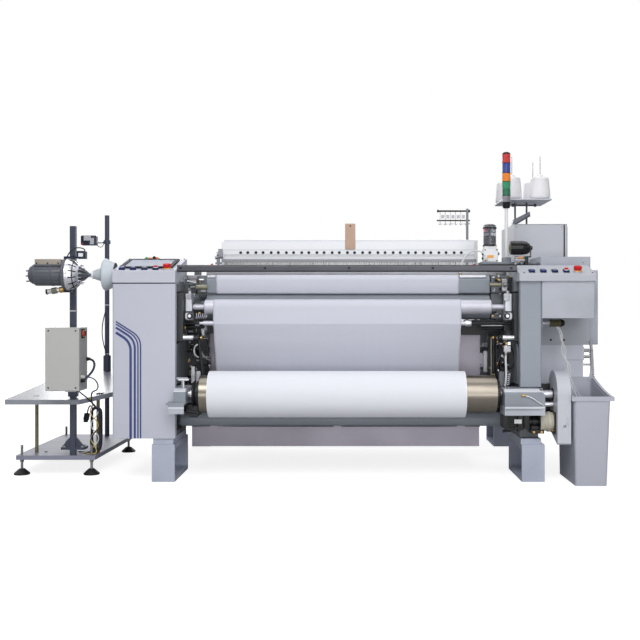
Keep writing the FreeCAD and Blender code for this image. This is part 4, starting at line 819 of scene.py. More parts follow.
def warpYarns():
    # each yarn is a four-sided thread along the same belt path; its corners are its width and height
    path = beltPath([(440.0, clothEdge["height"], 0.0, 0), station("backRoller", -1),
        station("warpBeam", -1)], 60.0)
    normal = normals(path)
    corners = np.array([(-0.8, 0.0), (0.0, 0.6), (0.8, 0.0), (0.0, -0.6)])
    one = np.stack([np.broadcast_to(corners[None, :, 0], (len(path), 4)),
        path[:, :1] + normal[:, :1] * corners[None, :, 1],
        path[:, 1:] + normal[:, 1:] * corners[None, :, 1]], -1)
    shape = gridShape(one, closed=True, capped=True)
    yarns = repeated(shape, np.column_stack([warpEnds, np.zeros((len(warpEnds), 2))]))
    uv = np.column_stack([yarns[0][:, 0], yarns[0][:, 1]]) / 1000
    onCloth("warpYarns", [yarns], warpWhite, stands=("warp_sheet",), uv=uv)


def woundWarp():
    y, z, outer = rollers["warpBeam"]
    along = np.linspace(clothEdge["left"] + 0.5, clothEdge["right"] - 0.5, 90)
    profile = np.concatenate([[(along[0], 76)], np.column_stack([along,
        outer - 0.6 + 0.5 * np.sin(along / 11.0)]), [(along[-1], 76)]])
    turn = circle(96)
    grid = np.stack([profile[:, :1] + 0 * turn, y + profile[:, 1:] * np.cos(turn),
        z + profile[:, 1:] * np.sin(turn)], -1)
    uv = np.stack([profile[:, :1] + 0 * turn, outer * turn + 0 * profile[:, :1]], -1).reshape(-1, 2) / 1000
    onCloth("warpRoll", [gridShape(grid, closed=True, looped=True)], warpWhite, "beam_of_warp",
        ("warp_winding",), uv=uv, sharp=50)


bobbins = {"places": [(917, 665), (917, 885), (1077, 665), (1077, 885)], "floor": 1476.3}


def threadBobbins():
    # a cone of yarn: crossed windings lift its surface in two helices that lean opposite ways
    height = np.concatenate([[0.0, 0.0], np.linspace(0, 118, 60), [123.7, 123.7]])
    body = np.interp(height, [0, 9, 24, 112, 124], [50, 57, 57, 49, 42])
    radius = np.concatenate([[6.5, 30.0], body[2:-2], [30.0, 6.5]])
    turn = circle(96)
    lift = 0.7 * (np.abs(np.sin(turn * 3 + height[:, None] / 3.1))
        + np.abs(np.sin(turn * 3 - height[:, None] / 3.1)))
    lift = np.where((radius[:, None] > 40) & (height[:, None] > 2) & (height[:, None] < 120), lift - 0.7, 0)
    r = radius[:, None] + lift
    grid = np.stack([r * np.cos(turn), r * np.sin(turn), bobbins["floor"] + height[:, None] + 0 * turn], -1)
    uv = np.stack([57 * turn + 0 * height[:, None], height[:, None] * 3 + 0 * turn],
        -1).reshape(-1, 2) / 1000
    offsets = [(x, y, 0) for x, y in bobbins["places"]]
    onThread("yarnCones", [repeated(gridShape(grid, closed=True, looped=True), offsets)], bobbinYarn,
        stands=("thread_bobbins",), uv=np.tile(uv, (len(offsets), 1)), sharp=60)
    tube = turned([(0, 4.3), (0, 6.4), (132, 6.4), (135.5, 12), (135.5, 14), (124, 16.5), (124, 4.3)], 32)
    onThread("coneTubes", [repeated(placed(tube, (0, 0, bobbins["floor"])), offsets)], whitePlastic)


# ---- consoles: touch panel, bezels, stop collars, indicator lamps, stripes

desks = {
    "left": {"height": 1048.0, "front": 0.0, "slope": math.radians(12.49),
        "keys": (-1130, -1074, -1018, -962), "stop": -906, "row": 26.0},
    "right": {"height": 1030.0, "front": -20.0, "slope": math.radians(16.39),
        "keys": (909, 966, 1023, 1080), "stop": 1137, "row": 20.0},
}
panel = {"middle": -1018.0, "from": 48.0, "size": (264.0, 240.0), "glass": (222.0, 202.0), "raised": 9.0}
stripes = {"start": -1155.0, "from": (740.7, 765.5, 782.8, 795.2),
    "at": (-1081.8, -1061.0, -1045.4, -1032.6), "width": (12.4, 10.4, 6.9, 6.9), "fall": 0.64,
    "corner": 46.0, "foot": 216.0}
# The lamps on the left desk: the middle, finish, radius and height of each.
frontLamps = ((-1070, greenGloss, 8, 13.5), (-1054, orangeGloss, 6.5, 12), (-1042, orangeGloss, 6, 11.5),
    (-1029, matteBlack, 9, 17.5), (-1013, orangeGloss, 7.5, 13.5))
lampRow = {"middle": -1042.0, "depth": 322.0}


def onDesk(side, x, y):
    desk = desks[side]
    normal = np.array((0.0, -math.sin(desk["slope"]), math.cos(desk["slope"])))
    point = np.array((x, y, desk["height"] + (y - desk["front"]) * math.tan(desk["slope"])))
    return point, normal


def ringPlate(outer, inner, low, high):   # a flat ring between two outlines of equal count
    loops = [np.column_stack([o, np.full(len(o), z)]) for o, z in ((outer, low), (outer, high),
        (inner, high), (inner, low))]
    return gridShape(np.stack(loops), closed=True, looped=True)


def rectangle(width, depth, radius):
    x, y = width / 2, depth / 2
    return softOutline([(-x, -y), (x, -y), (x, y), (-x, y)], radius)


def stripeShape(x, width, start):
    # a straight fall, a curve that turns it down, and the run to the bottom edge; each side of the
    # stripe stands half its width off the middle line along the line's own normal
    corner = np.array((x, start - (x - stripes["start"]) * stripes["fall"]))
    fall = np.array((1.0, -stripes["fall"])) / math.hypot(1, stripes["fall"])
    t = np.linspace(0, 1, 12)[:, None]
    before, after = corner - stripes["corner"] * fall, corner - (0, stripes["corner"])
    bend = (1 - t) ** 2 * before + 2 * t * (1 - t) * corner + t ** 2 * after
    line = np.concatenate([[(stripes["start"], start)], bend, [(x, stripes["foot"])]])
    ahead = np.gradient(line, axis=0)
    ahead /= np.linalg.norm(ahead, axis=1)[:, None]
    side = np.column_stack([-ahead[:, 1], ahead[:, 0]]) * width / 2
    outline = [line + side, line - side]
    grid = np.stack([np.stack([o[:, 0], np.full(len(o), y), o[:, 1]], -1)
        for o, y in ((outline[0], -0.7), (outline[1], -0.7), (outline[1], 0.5), (outline[0], 0.5))], 1)
    return gridShape(grid, closed=True, capped=True)


keyBlue, keyGrey = [makeFinish(name, tint, 0.08, 12.0, (0.4, 0.55), grain=900, bump=0.03, shine=0.2)
    for name, tint in (("keyBlue", (104, 112, 158)), ("keyGrey", (124, 128, 138)))]
keyTints = (keyBlue, keyBlue, keyGrey, whitePlastic)


def consoles():
    onCover("coverStripes", [stripeShape(x, w, z) for x, w, z in zip(stripes["at"], stripes["width"],
        stripes["from"])], navyStripe)
    middle = panel["from"] + panel["size"][1] / 2 * math.cos(desks["left"]["slope"])
    point, normal = onDesk("left", panel["middle"], middle)
    bezel = ringPlate(rectangle(panel["size"][0] + 1, panel["size"][1] + 1, 12),
        rectangle(*panel["glass"], 5), 0.5, panel["raised"] + 1)
    onCover("panelBezel", [placed(bezel, point, normal)], matteBlack, bevel=1.0)
    glass = raised(rectangle(panel["glass"][0] - 1, panel["glass"][1] - 1, 5), 3, panel["raised"] - 0.8)
    onCover("panelGlass", [placed(glass, point, normal)], panelGlass)
    collars, bases = [], []
    for side, desk in desks.items():
        for x in desk["keys"]:
            at, normal = onDesk(side, x, desk["row"])
            collars.append(placed(ringPlate(rectangle(29.6, 33.4, 4), rectangle(26.6, 26.6, 13.2), 0, 10.5),
                at, normal))
        at, normal = onDesk(side, desk["stop"], desk["row"])
        bases.append(lathe([(4.6, 9.4), (4.6, 17.4), (10.2, 16.4), (10.8, 15.4), (10.8, 9.4)], at, normal))
    onCover("keyCollars", collars, matteNavy, bevel=1.2)
    onCover("stopCollars", bases, yellowGloss)
    for i, (x, finish, radius, height) in enumerate(frontLamps):
        at, normal = onDesk("left", x, lampRow["depth"])
        dome = turned([(0, 0), (0, radius), (height * 0.52, radius), (height * 0.82, radius * 0.8),
            (height, 0)], 20)
        onCover("lamp%d" % i, [placed(dome, at, normal)], finish)
    at, normal = onDesk("left", lampRow["middle"], lampRow["depth"])
    onCover("lampFoot", [placed(ringPlate(rectangle(80, 24, 4), rectangle(2, 2, 0.9), -0.5, 4), at,
        normal)], matteBlack)
    for side, desk in desks.items():
        for i, x in enumerate(desk["keys"]):
            at, normal = onDesk(side, x, desk["row"])
            face = turned([(9.3, 0), (9.3, 11.2), (13.0, 11.2), (14.0, 10.2), (14.2, 0)], 32)
            addPiece("%sKeyFace%d" % (side, i + 1), [placed(face, at, normal)], keyTints[i],
                "%s_key_%d" % (side, i + 1), "button_red" if i == 3 else "button_blue")
        cap = turned([(14.0, 0), (14.0, 10.4), (18.4, 10.8), (20.2, 8.6), (20.8, 0)], 32)
        addPiece("%sKeyDome" % side, [placed(cap, at, normal)], redCap, "%s_key_4" % side, "button_red")
        at, normal = onDesk(side, desk["stop"], desk["row"])
        crown = turned([(20.4, 0), (20.4, 19.6), (27.0, 20.2), (28.6, 18.4), (29.2, 0)])
        addPiece("%sStopCrown" % side, [placed(crown, at, normal)], redCap, "%s_stop" % side, "button_red")
    screws = [onDesk(side, x, y) for side, places in (("left",
        ((-1162, 12), (-872, 12), (-1162, 330), (-872, 330))),
        ("right", ((868, 4), (1208, 4), (868, 200), (1208, 200)))) for x, y in places]
    onCover("deskScrews", [screw(at, normal, 4.5, 2.2) for at, normal in screws], blackSteel)
    onCover("coverSeam", [block(-1172.4, -861.6, -0.6, 2, 982.4, 987.4)], matteBlack)
    studs = [screw((x, 273.8, z), toFront, 6) for x, z in ((1057, 695), (1125, 695), (1001, 440),
        (1190, 440))]
    onCover("coverScrews", studs, blackSteel)


# ---- hand rail, breast beam trim, guide bar ends

def beamTrim():
    onBeam("beamStrip", [block(579, 716, 266, 271.4, 1022, 1034),
        block(-741, -699, 266, 271.4, 1022, 1034)], brightSteel, bevel=1.0)
    onFrame("tubeSleeve", [rod((-870, 235, 284), (852, 235, 284), 34.5, 48)], beamPaint)
    onFrame("railLedge", [block(-770, 850, 436, 452, 1038, 1061), block(-770, 850, 450, 454, 1000, 1052)],
        plainSteel, bevel=1.0)
    bolts = [screw((x, 49.8, 1062), toFront, 6.5) for x in (-843, -420, 0, 420, 812)]
    onRail("railBolts", bolts, blackSteel)
    onRail("railSeam", [block(x - 0.6, x + 0.6, 49.4, 90.4, 1042.6, 1078.4) for x in (-300, 300)],
        blackSteel)
    onSteel("guideEnds", [alongX([(596, 0), (596, 15.5), (600, 16.5), (622, 16.5), (626, 15.5), (626, 0)],
        167, 784, 32)], brightSteel)


# ---- the mechanism between the cloth and the side frames

leftWorks = {
    "casting": (castPaint, [block(-914, -866, 300, 440, 470, 930), block(-876, -858, 96, 240, 944, 1000),
        block(-874, -746, 300, 432, 940, 1034), slab([(60, 480), (60, 640), (110, 690), (330, 690),
        (360, 480)], 0, -874, -864)], 3.0),
    "dark": (blackSteel, [block(-874, -863, 146, 158, 900, 1043),
        rod((-860, 188, 765), (-744, 188, 765), 9), pipe([(-858, 108, 818), (-872, 106, 780),
        (-880, 104, 735), (-880, 104, 705), (-872, 104, 680)], 9, (0, 1, 0), 12),
        rod((-786, 100, 709), (-760, 100, 709), 15), rod((-763, 112, 712), (-742, 116, 522), 8),
        rod((-874, 108, 711), (-846, 108, 711), 16), block(-838, -744, 236, 300, 800, 846),
        block(-858, -838, 240, 330, 846, 940), block(-852, -742, 300, 372, 722, 792),
        block(-790, -752, 330, 398, 470, 700), block(-850, -834, 300, 330, 700, 722)], 2.0),
    "silver": (plainSteel, [block(-836, -788, 232, 282, 1014, 1030), block(-832, -792, 226, 262, 984, 1010),
        rod((-838, 214, 1000), (-790, 214, 990), 7), rod((-872, 192, 920), (-836, 192, 920), 6),
        rod((-872, 196, 901), (-836, 196, 901), 4), rod((-872, 150, 815), (-826, 150, 815), 4),
        block(-826, -802, 134, 152, 906, 934), block(-799, -781, 108, 116, 482, 566),
        block(-785, -757, 136, 176, 468, 540), block(-760, -746, 200, 240, 716, 750),
        block(-772, -744, 262, 300, 740, 770), block(-772, -745, 240, 262, 946, 984)], 1.5),
    "bright": (brightSteel, [rod((-838, 100, 712), (-790, 100, 712), 12.6),
        rod((-795, 30, 433), (-776, 30, 433), 23, 32, 4),
        lathe([(0, 16), (0, 27), (3, 28), (27, 28), (30, 27), (30, 16)], (-832, 189.3, 867), toRight),
        spring((-786, 178, 822), (-733, 178, 822), 13, 2.2, 5.5),
        rod((-790, 186, 779), (-768, 186, 779), 11)], 0.0),
    "thread": (oilySteel, [lathe([(3 * i + k, r) for i in range(9)
        for k, r in ((0, 13), (1.5, 16))] + [(27, 0)], (-872, 190, 869), toRight, 28),
        rod((-846, 190, 869), (-838, 190, 869), 9)], 0.0),
    "gold": (oliveSteel, [lathe([(0, 0), (0, 15), (4, 15), (4, 12.5), (54, 12.5), (54, 15), (58, 15),
        (58, 0)], (-790, 212, 969), toRight, 32), rod((-792, 24, 370), (-752, 24, 366), 6),
        rod((-768, 22, 392), (-766, 22, 352), 4)], 0.0),
    "brass": (brassMetal, [rod((-752, 98, 711), (-742, 98, 711), 7),
        hexHead((-846, 108, 728), toFront, 13, 8), hexHead((-842, 150, 760), toFront, 12, 7),
        rod((-776, 196, 836), (-766, 196, 836), 5)], 0.0),
    "clamp": (blackSteel, [slab(softOutline([(-815, 338), (-800, 383), (-742, 378), (-730, 340),
        (-756, 318), (-795, 322)], 8), 1, 4, 56), rod((-806, 0, 352), (-740, 0, 340), 7),
        block(-800, -746, -4, 4, 326, 336), lathe([(0, 21), (0, 60), (5, 66), (9, 66), (9, 58), (16, 54),
        (16, 21)], (-777, 30, 433), toRight, 48), rod((-843, -30, 444), (-811, -30, 458), 4.5),
        block(-880, -874.8, 240, 276, 208, 258)], 1.0),
    "white": (whitePlastic, [rod((-843, -20, 508), (-790, -20, 508), 4.5),
        rod((-816, -20, 466), (-816, -20, 508), 3.5)], 0.0),
}
rightWorks = {
    "casting": (castPaint, [block(846, 893, 300, 440, 470, 930), block(742, 812, 262, 300, 806, 936),
        block(746, 856, 300, 432, 940, 1034), block(836, 858, 96, 240, 944, 1000),
        slab([(60, 480), (60, 640), (110, 690), (330, 690), (360, 480)], 0, 845, 855),
        block(768, 796, 150, 190, 460, 536)], 3.0),
    "dark": (blackSteel, [block(606, 804, 250, 330, 772, 800), block(600, 812, 372, 398, 718, 790),
        block(800, 842, 200, 300, 742, 790), rod((700, 262, 757), (852, 250, 757), 8),
        rod((851, 122, 800), (872, 122, 738), 9), rod((755, 100, 711), (776, 100, 711), 15),
        rod((856, 96, 701), (872, 96, 701), 22), block(757, 764, 290, 330, 515, 706),
        block(770, 777, 290, 330, 515, 706), block(800, 846, 330, 398, 470, 700),
        block(742, 800, 360, 398, 470, 732), block(800, 846, 236, 300, 846, 940),
        block(822, 846, 180, 230, 940, 1020)], 2.0),
    "silver": (plainSteel, [rod((820, 212, 979), (872, 212, 979), 9), block(786, 812, 174, 204, 950, 1008),
        rod((790, 172, 985), (808, 172, 985), 17), rod((834, 192, 924), (878, 192, 924), 8),
        rod((834, 196, 903), (878, 196, 903), 5), rod((828, 150, 818), (876, 150, 818), 4.5),
        block(788, 818, 130, 148, 900, 936), rod((686, 240, 770), (860, 236, 770), 4),
        block(604, 782, 394, 398, 724, 744), block(720, 741, 388, 399, 518, 632),
        block(784, 818, 104, 132, 640, 671), rod((796, 112, 636), (796, 112, 626), 9),
        block(704, 860, 606, 620, 904, 924)], 1.5),
    "bright": (brightSteel, [rod((774, 100, 712), (858, 100, 712), 12.6),
        block(604, 782, 392, 394.6, 728, 732), lathe([(0, 16), (0, 27), (3, 28), (25, 28), (28, 27),
        (28, 16)], (801, 189.3, 867), toRight), spring((812, 110, 530), (806, 118, 474), 8, 1.8, 6),
        block(802, 816, 96, 140, 676, 690)], 0.0),
    "gold": (oliveSteel, [lathe([(0, 0), (0, 13), (4, 13), (4, 10), (58, 10), (58, 13), (62, 13), (62, 0)],
        (727, 212, 982), toRight, 32), rod((741, 250, 708), (741, 250, 511), 4)], 0.0),
    "brass": (brassMetal, [lathe([(0, 0), (0, 5), (4, 8), (9, 8), (13, 4), (13, 0)], (735, 100, 712),
        (-1, 0, 0), 20), rod((872, 90, 711), (882, 90, 711), 7), rod((796, 110, 676), (796, 110, 690), 6),
        rod((796, 110, 621), (796, 110, 634), 6), rod((770, 216, 1012), (782, 216, 1004), 7),
        hexHead((782, 395, 718), toFront, 12, 8)] + [gathered([rod((x - 8, 200, z), (x + 6, 200, z), 4),
        rod((x - 10, 200, z), (x - 6, 200, z), 6)]) for x, z in ((852, 611), (858, 565), (863, 531),
        (855, 496))], 0.0),
    "white": (whitePlastic, [block(704, 718, 606, 620, 900, 1241)], 1.5),
}
eyes = ((-809, -838, -802), (804, 798, 834))   # each clamp's eye: its middle, and the block it is on


def works(side, sets):
    for name, (finish, shapes, bevel) in sets.items():
        onSteel(side + name.capitalize(), shapes, finish, bevel=bevel)


# Screws, unions and short pipes on the castings: x from, x to, z from, z to, the face's y, how many.
smallWork = ((-862, -796, 478, 700, 396, 44), (-870, -752, 948, 1030, 298, 16),
    (-850, -746, 726, 790, 298, 10), (-912, -868, 700, 925, 298, 9), (804, 842, 476, 698, 328, 38),
    (746, 796, 476, 728, 358, 36), (750, 852, 948, 1030, 298, 16), (746, 808, 812, 930, 260, 10),
    (804, 842, 850, 936, 234, 8))


def fittings():
    draw = np.random.default_rng(11)
    kept = {"Bright": (brightSteel, []), "Brass": (brassMetal, []), "Dark": (blackSteel, []),
        "Olive": (oliveSteel, [])}
    names = ("Bright", "Dark", "Bright", "Brass", "Dark", "Olive", "Bright", "Dark")
    for x0, x1, z0, z1, y, count in smallWork:
        places = zip(draw.uniform(x0, x1, count), draw.uniform(z0, z1, count),
            draw.uniform(3.5, 7.5, count), draw.integers(0, 8, count))
        for x, z, size, kind in places:
            if kind < 4:   # a screw
                shape = hexHead((x, y, z), toFront, 1.3 * size, 1.5 * size)
            elif kind < 6:   # a short upright pipe
                shape = rod((x, y - 5, z - 2.5 * size), (x, y - 5, z + 2.5 * size), 0.6 * size)
            else:   # a short pipe that lies
                shape = rod((x - 1.8 * size, y - 8, z), (x + 1.8 * size, y - 8, z), 0.8 * size)
            kept[names[kind]][1].append(shape)
    for name, (finish, shapes) in kept.items():
        onSteel("fittings" + name, shapes, finish)
    onSteel("fittingBack", [block(-866, -790, 396, 402, 470, 704)], darkPaint)


def clampEyes():
    rings, hubs = [], []
    for x, low, high in eyes:
        rings.append(placed(turned([(0, 9), (0, 16.5), (3, 17.5), (9, 17.5), (12, 15.5), (12, 9)], 6),
            (x, 124, 821), toFront, 0.2))
        hubs.append(lathe([(0, 0), (0, 8.6), (13, 8.6), (15, 7), (15, 0)], (x, 124, 821), toFront, 24))
        rings.append(block(low - 1, high + 1, 138, 146, 838, 846))
    onSteel("eyeNuts", rings, blackSteel, bevel=0.8)
    onSteel("eyeHubs", hubs, brightSteel)


# ---- take-up motor, roll housings, gear guard

def drive():
    y, z = 6.762, 299.0   # the motor's axis
    case = [block(758, 828, y - 38, y + 42, z - 28, z + 40),
        block(830, 858, y - 44, y + 44, z - 38, z + 38), block(754, 762, y - 34, y + 34, z - 24, z + 34),
        block(862, 889, y - 36, y + 36, z - 33, z + 33), block(772, 812, y - 34, y + 30, z - 40, z - 26)]
    fins = [block(780, 826, y - 41, y - 38, z - 22 + 9 * i, z - 19 + 9 * i) for i in range(7)]
    onMotor("motorCase", case + fins, glossBlack, stands=("take_up_motor",), bevel=2.5)
    collars = [lathe([(0, 0), (0, 26), (10, 26), (10, 22), (20, 22), (20, 28), (34, 28), (34, 24), (52, 24),
        (52, 0)], (888, y, z), toRight)]
    onMotor("motorCoupling", collars + [rod((762, y, z - 48), (802, y, z - 44), 7)], blackSteel)
    box = lathe([(0, 0), (0, 48), (6, 52), (20, 52), (22, 46), (40, 46), (42, 50), (58, 50), (62, 46),
        (76.5, 46), (76.5, 0)], (939, y, z), toRight, 48)
    onMotor("gearBox", [box], creamPaint)
    onMotor("gearBoxBand", [lathe([(0, 44), (0, 53), (5, 53), (5, 44)], (937, y, z), toRight, 48),
        block(1008, 1015.5, y - 54, y + 54, z - 56, z + 50)], blackSteel)
    onMotor("motorPlate", [block(813, 849, y - 45.4, y - 44, 294, 314)], whitePlastic)
    brasses = [screw((x, -34, 252), toFront, 6.5, 5) for x in (909, 947)] + [screw((1004, y - 30, z - 40),
        toFront, 5, 4)]
    onMotor("motorScrews", brasses, brassMetal)
    onMotor("motorFoot", [block(896, 960, -34, 40, 244, 262), block(900, 956, -20, 30, 262, 280)],
        blackSteel, bevel=1.5)
    onCover("guardLatch", [lathe([(0, 0), (0, 7.5), (2.5, 7.5), (3.5, 6), (3.5, 0)], (1050, -82, 288),
        toFront, 24)], plainSteel)
    onCover("guardRing", [lathe([(0, 21), (0, 30), (4, 30), (4, 21)], (1011.5, 30, 433), toRight, 36)],
        blackSteel)
    silver = [rod((960, 30, 433), (1012, 30, 433), 20.8), rod((955, 10, 384), (1014, 10, 384), 12),
        rod((955, 30, 433), (966, 30, 433), 24)]
    onCover("rollEnds", silver, brightSteel)
    onCover("driveBack", [block(950, 1018, 96, 104, 318, 480)], blackSteel)
    onCover("housingLids", [block(762, 950, -58, 50, 465, 468), block(-856, -802, -26, 56, 466, 469)],
        trayPaint, bevel=1.2)
    onCover("housingScrews", [screw((x, y0, 468), toTop, 5, 4) for x in (776, 936) for y0 in (-44, 36)],
        blackSteel)
    onCover("greasePoint", [rod((846, -91, 437), (846, -100, 437), 5),
        rod((838, -97, 437), (860, -97, 436), 4)], brassMetal)


def alongX(profile, y, z, steps=40):   # a profile of (x, radius) turned round a line along the weft
    return lathe(profile, (0, y, z), toRight, steps)


def fanned(shape, y, z, count, first=0.0):   # copies of a shape drawn about the x axis, turned round it
    points = []
    for angle in first + 2 * math.pi * np.arange(count) / count:
        c, s = math.cos(angle), math.sin(angle)
        points.append((shape[0] @ np.array([[1, 0, 0], [0, c, s], [0, -s, c]]) + (0, y, z), shape[1],
            shape[2]))
    return gathered(points)


# ---- harness, reed, stop motion

# Each harness: its body, its depth and the first warp end that it draws.
healds = {"front": ("front_heald", 646.0, 0), "rear": ("rear_heald", 678.0, 1)}
heddle = {"low": 848.0, "high": 1156.0, "eye": 1036.0}
tag = {"x": (-22.0, 36.0), "z": (1191.0, 1336.0), "back": 639.6}


def harnessTrim():
    wire = turned([(heddle["low"], 0.7), (heddle["eye"] - 8, 0.7), (heddle["eye"] - 4, 1.5),
        (heddle["eye"] + 4, 1.5), (heddle["eye"] + 8, 0.7), (heddle["high"], 0.7)], 5)
    for name, (body, y, first) in healds.items():
        ends = warpEnds[first::2]
        offsets = np.column_stack([ends, np.full(len(ends), y), np.zeros(len(ends))])
        onHeald(name + "Heddles", [repeated(wire, offsets)], blackSteel, body)
        carriers = [block(-700, 706, y - 3, y + 3, z - 5, z + 5) for z in (862, 1140)]
        guides = [block(x - 5, x + 5, y - 5, y + 5, 850, 1154) for x in (-711, 717)]
        onHeald(name + "Carriers", carriers + guides, healdWhite, body, bevel=0.8)
    face = healds["front"][1] - 6
    places = [-608 + 85.6 * i + step for i in range(15) for step in (0, 40)]
    cup = turned([(-1, 4), (-1, 8.2), (1.2, 8.2), (2.2, 7), (2.2, 4)], 24)
    onHeald("railCups", [placed(cup, (x, face, 1173), toFront) for x in places], blackSteel, "front_heald")
    onHeald("railScrews", [screw((x, face + 2, 1173), toFront, 4.4, 4) for x in places], plainSteel,
        "front_heald")
    grooves = [block(-700, 706, face - 0.4, face + 0.4, z, z + 1.5) for z in (1161, 1187, 1238)]
    onHeald("railGrooves", grooves, trayPaint, "front_heald")
    x, z, back = tag["x"], tag["z"], tag["back"]
    board = softOutline([(x[0], z[0]), (x[1], z[0]), (x[1], z[1]), (x[0], z[1])], 5)
    onHeald("woodTag", [slab(board, 1, back - 5, back)], wood, "front_heald", bevel=1.0)
    onHeald("tagScrew", [screw((7, back - 5, 1322), toFront, 4, 2)], blackSteel, "front_heald")


def sleyTrim():
    dents = np.arange(-690.0, 691.0, 2.3)
    offsets = np.column_stack([dents, np.zeros((len(dents), 2))])
    onSteel("reedDents", [repeated(block(-0.25, 0.25, 569, 577, 985, 1124), offsets)], plainSteel, "sley")
    relays = np.arange(-640.0, 560.0, 74.0)
    jets = [rod((x, 556, 1000), (x, 551, 1030), 2.4, 10) for x in relays]
    onSley("relayJets", jets + [block(x - 8, x + 8, 549, 562, 984, 1002) for x in relays], blackSteel,
        "sley")
    onSley("nozzleEnds", [rod((-836, 566, 1034), (-826, 566, 1034), 9.5),
        rod((-706, 566, 1034), (-700, 566, 1034), 5.3)], brassMetal, "sley")


def stopTrim():
    places = np.arange(-690.0, 571.0, 9.0)
    rows = [repeated(block(-0.2, 0.2, -5.5, 5.5, 1050, 1126),
        np.column_stack([places + shift, np.full(len(places), y), np.zeros(len(places))]))
        for y, shift in ((1083, 0.0), (1097, 3.0), (1113, 6.0), (1127, 1.5))]
    onFrame("dropWires", rows, brightSteel)


# ---- what stands on the loom: signal lamp, grease pump, work lamp, heald lever, cabinet, rack

deepGreen = makeFinish("deepGreen", (38, 112, 84), 0.05, 20.0, (0.25, 0.4), grain=700, bump=0.02)
lampStack = ((1413, 1425, "Foot", blackPlastic), (1425, 1462, "Base", plainSteel),
    (1462, 1499, "Green", deepGreen), (1499, 1537, "GreenTop", greenGloss),
    (1537, 1583, "Orange", orangeGloss), (1583, 1636, "Blue", blueGloss), (1636, 1684, "Red", redGloss))


def signalLamp():
    at = (841, 380, 0)
    onLamp("lampPole", [rod((841, 380, 1120), (841, 380, 1400), 9)], whitePlastic, stands=("signal_lamp",))
    onLamp("lampBlock", [block(818.5, 863.5, 357.5, 402.5, 1106.3, 1133)], beamPaint, bevel=2.0)
    foot = turned([(1395, 9), (1395, 16), (1401, 20), (1413, 20), (1413, 0)])
    top = turned([(1684, 21), (1686, 22.4), (1690, 19.5), (1695, 12), (1695, 0)])
    rings = [lathe([(z - 1.6, 20), (z - 1.6, 22.9), (z + 1.6, 22.9), (z + 1.6, 20)], at)
        for z in (1426, 1462, 1537, 1583, 1636)]
    onLamp("lampCaps", [placed(foot, at), placed(top, at)] + rings, blackPlastic)
    for low, high, name, finish in lampStack:
        # the lens is ribbed: its radius follows a sine of the height
        z = np.arange(low + 1.5, high - 1.5, 0.75)
        wall = np.column_stack([z, 22.2 + 0.4 * np.sin(z * 2.1)])
        profile = np.concatenate([[(low, 0), (low, 19.5), (low + 1.5, 19.5)], wall,
            [(high - 1.5, 19.5), (high, 19.5), (high, 0)]])
        onLamp("lens" + name, [lathe(profile, at, steps=32)], finish)


def greasePump():
    at = (750, 365, 0)
    lid = raised(softOutline([(718, 334), (786, 334), (786, 396), (718, 396)], 16), 1178, 1192)
    onPump("pumpBase", [block(714, 790, 331, 399, 1106.3, 1178), lid], whitePlastic,
        stands=("grease_pump",), bevel=3.0)
    wall = [(1196, 31), (1196, 33.5), (1298, 33.5), (1304, 31), (1308, 20), (1308, 0), (1305, 0),
        (1305, 18), (1301, 28), (1296, 30.5), (1198, 30.5)]
    onPump("pumpCanister", [lathe(wall, at, steps=48)], smoked)
    grease = turned([(1197, 0), (1197, 29.5), (1240, 29.5), (1246, 24), (1248, 12), (1248, 0)])
    plate = turned([(1262, 6), (1262, 29), (1266, 29), (1266, 6)])
    onPump("pumpGrease", [placed(grease, at), placed(plate, at), rod((750, 365, 1247), (750, 365, 1305), 5),
        spring((750, 365, 1266), (750, 365, 1304), 13, 1.4, 6)], oilySteel)
    bands = [lathe([(z, 29), (z, 37), (z + 7, 37), (z + 7, 29)], at, steps=48) for z in (1190, 1284)]
    onPump("pumpBands", bands, blackPlastic)
    onPump("pumpMark", [block(717, 726, 345, 352, 1268, 1290)], redGloss)
    onPump("pumpPlate", [block(733, 766, 329.8, 331.2, 1127, 1142)], yellowGloss)
    unions = [rod((706, 352, z), (715, 352, z), 6) for z in (1126, 1150)] + [hexHead((790, 352, 1150),
        toRight, 15, 9)]
    heads = [screw((x, 331, z), toFront, 3.6, 2.4) for x in (721, 783) for z in (1113, 1170)]
    onPump("pumpUnions", unions + heads, blackSteel)
    elbow = pipe([(600, 425, 1050), (600, 425, 1036), (600, 422, 1030), (600, 414, 1028), (600, 404, 1028)],
        5.5, toRight, 16)
    onPump("hoseElbow", [elbow, rod((727, 331, 1116), (727, 322, 1116), 6)], brassMetal)


def healdLever():
    y = 615.0
    post = [block(-736, -724, y - 7, y + 7, 900, 1112), block(-880, -724, y - 7, y + 7, 900, 925),
        block(-746, -712, y - 10, y + 12, 1106, 1118), block(-739, -721, y - 9, y + 9, 1118, 1138)]
    onFrame("leverPost", post, beamPaint, bevel=2.0)
    knob = lathe([(0, 0), (0, 15), (8, 15), (10, 12), (24, 12), (24, 0)], (-738, y, 1160), (1, 0, 0.15), 32)
    onFrame("leverHead", [rod((-748, y, 1143), (-704, y, 1149), 10),
        block(-730, -706, y - 12, y + 12, 1150, 1192), knob], plainSteel, bevel=1.5)
    onFrame("redCaps", [rod((-736, 404, 1082), (-736, 404, 1100), 7),
        rod((676, 440, 1082), (676, 440, 1100), 7)], redGloss)


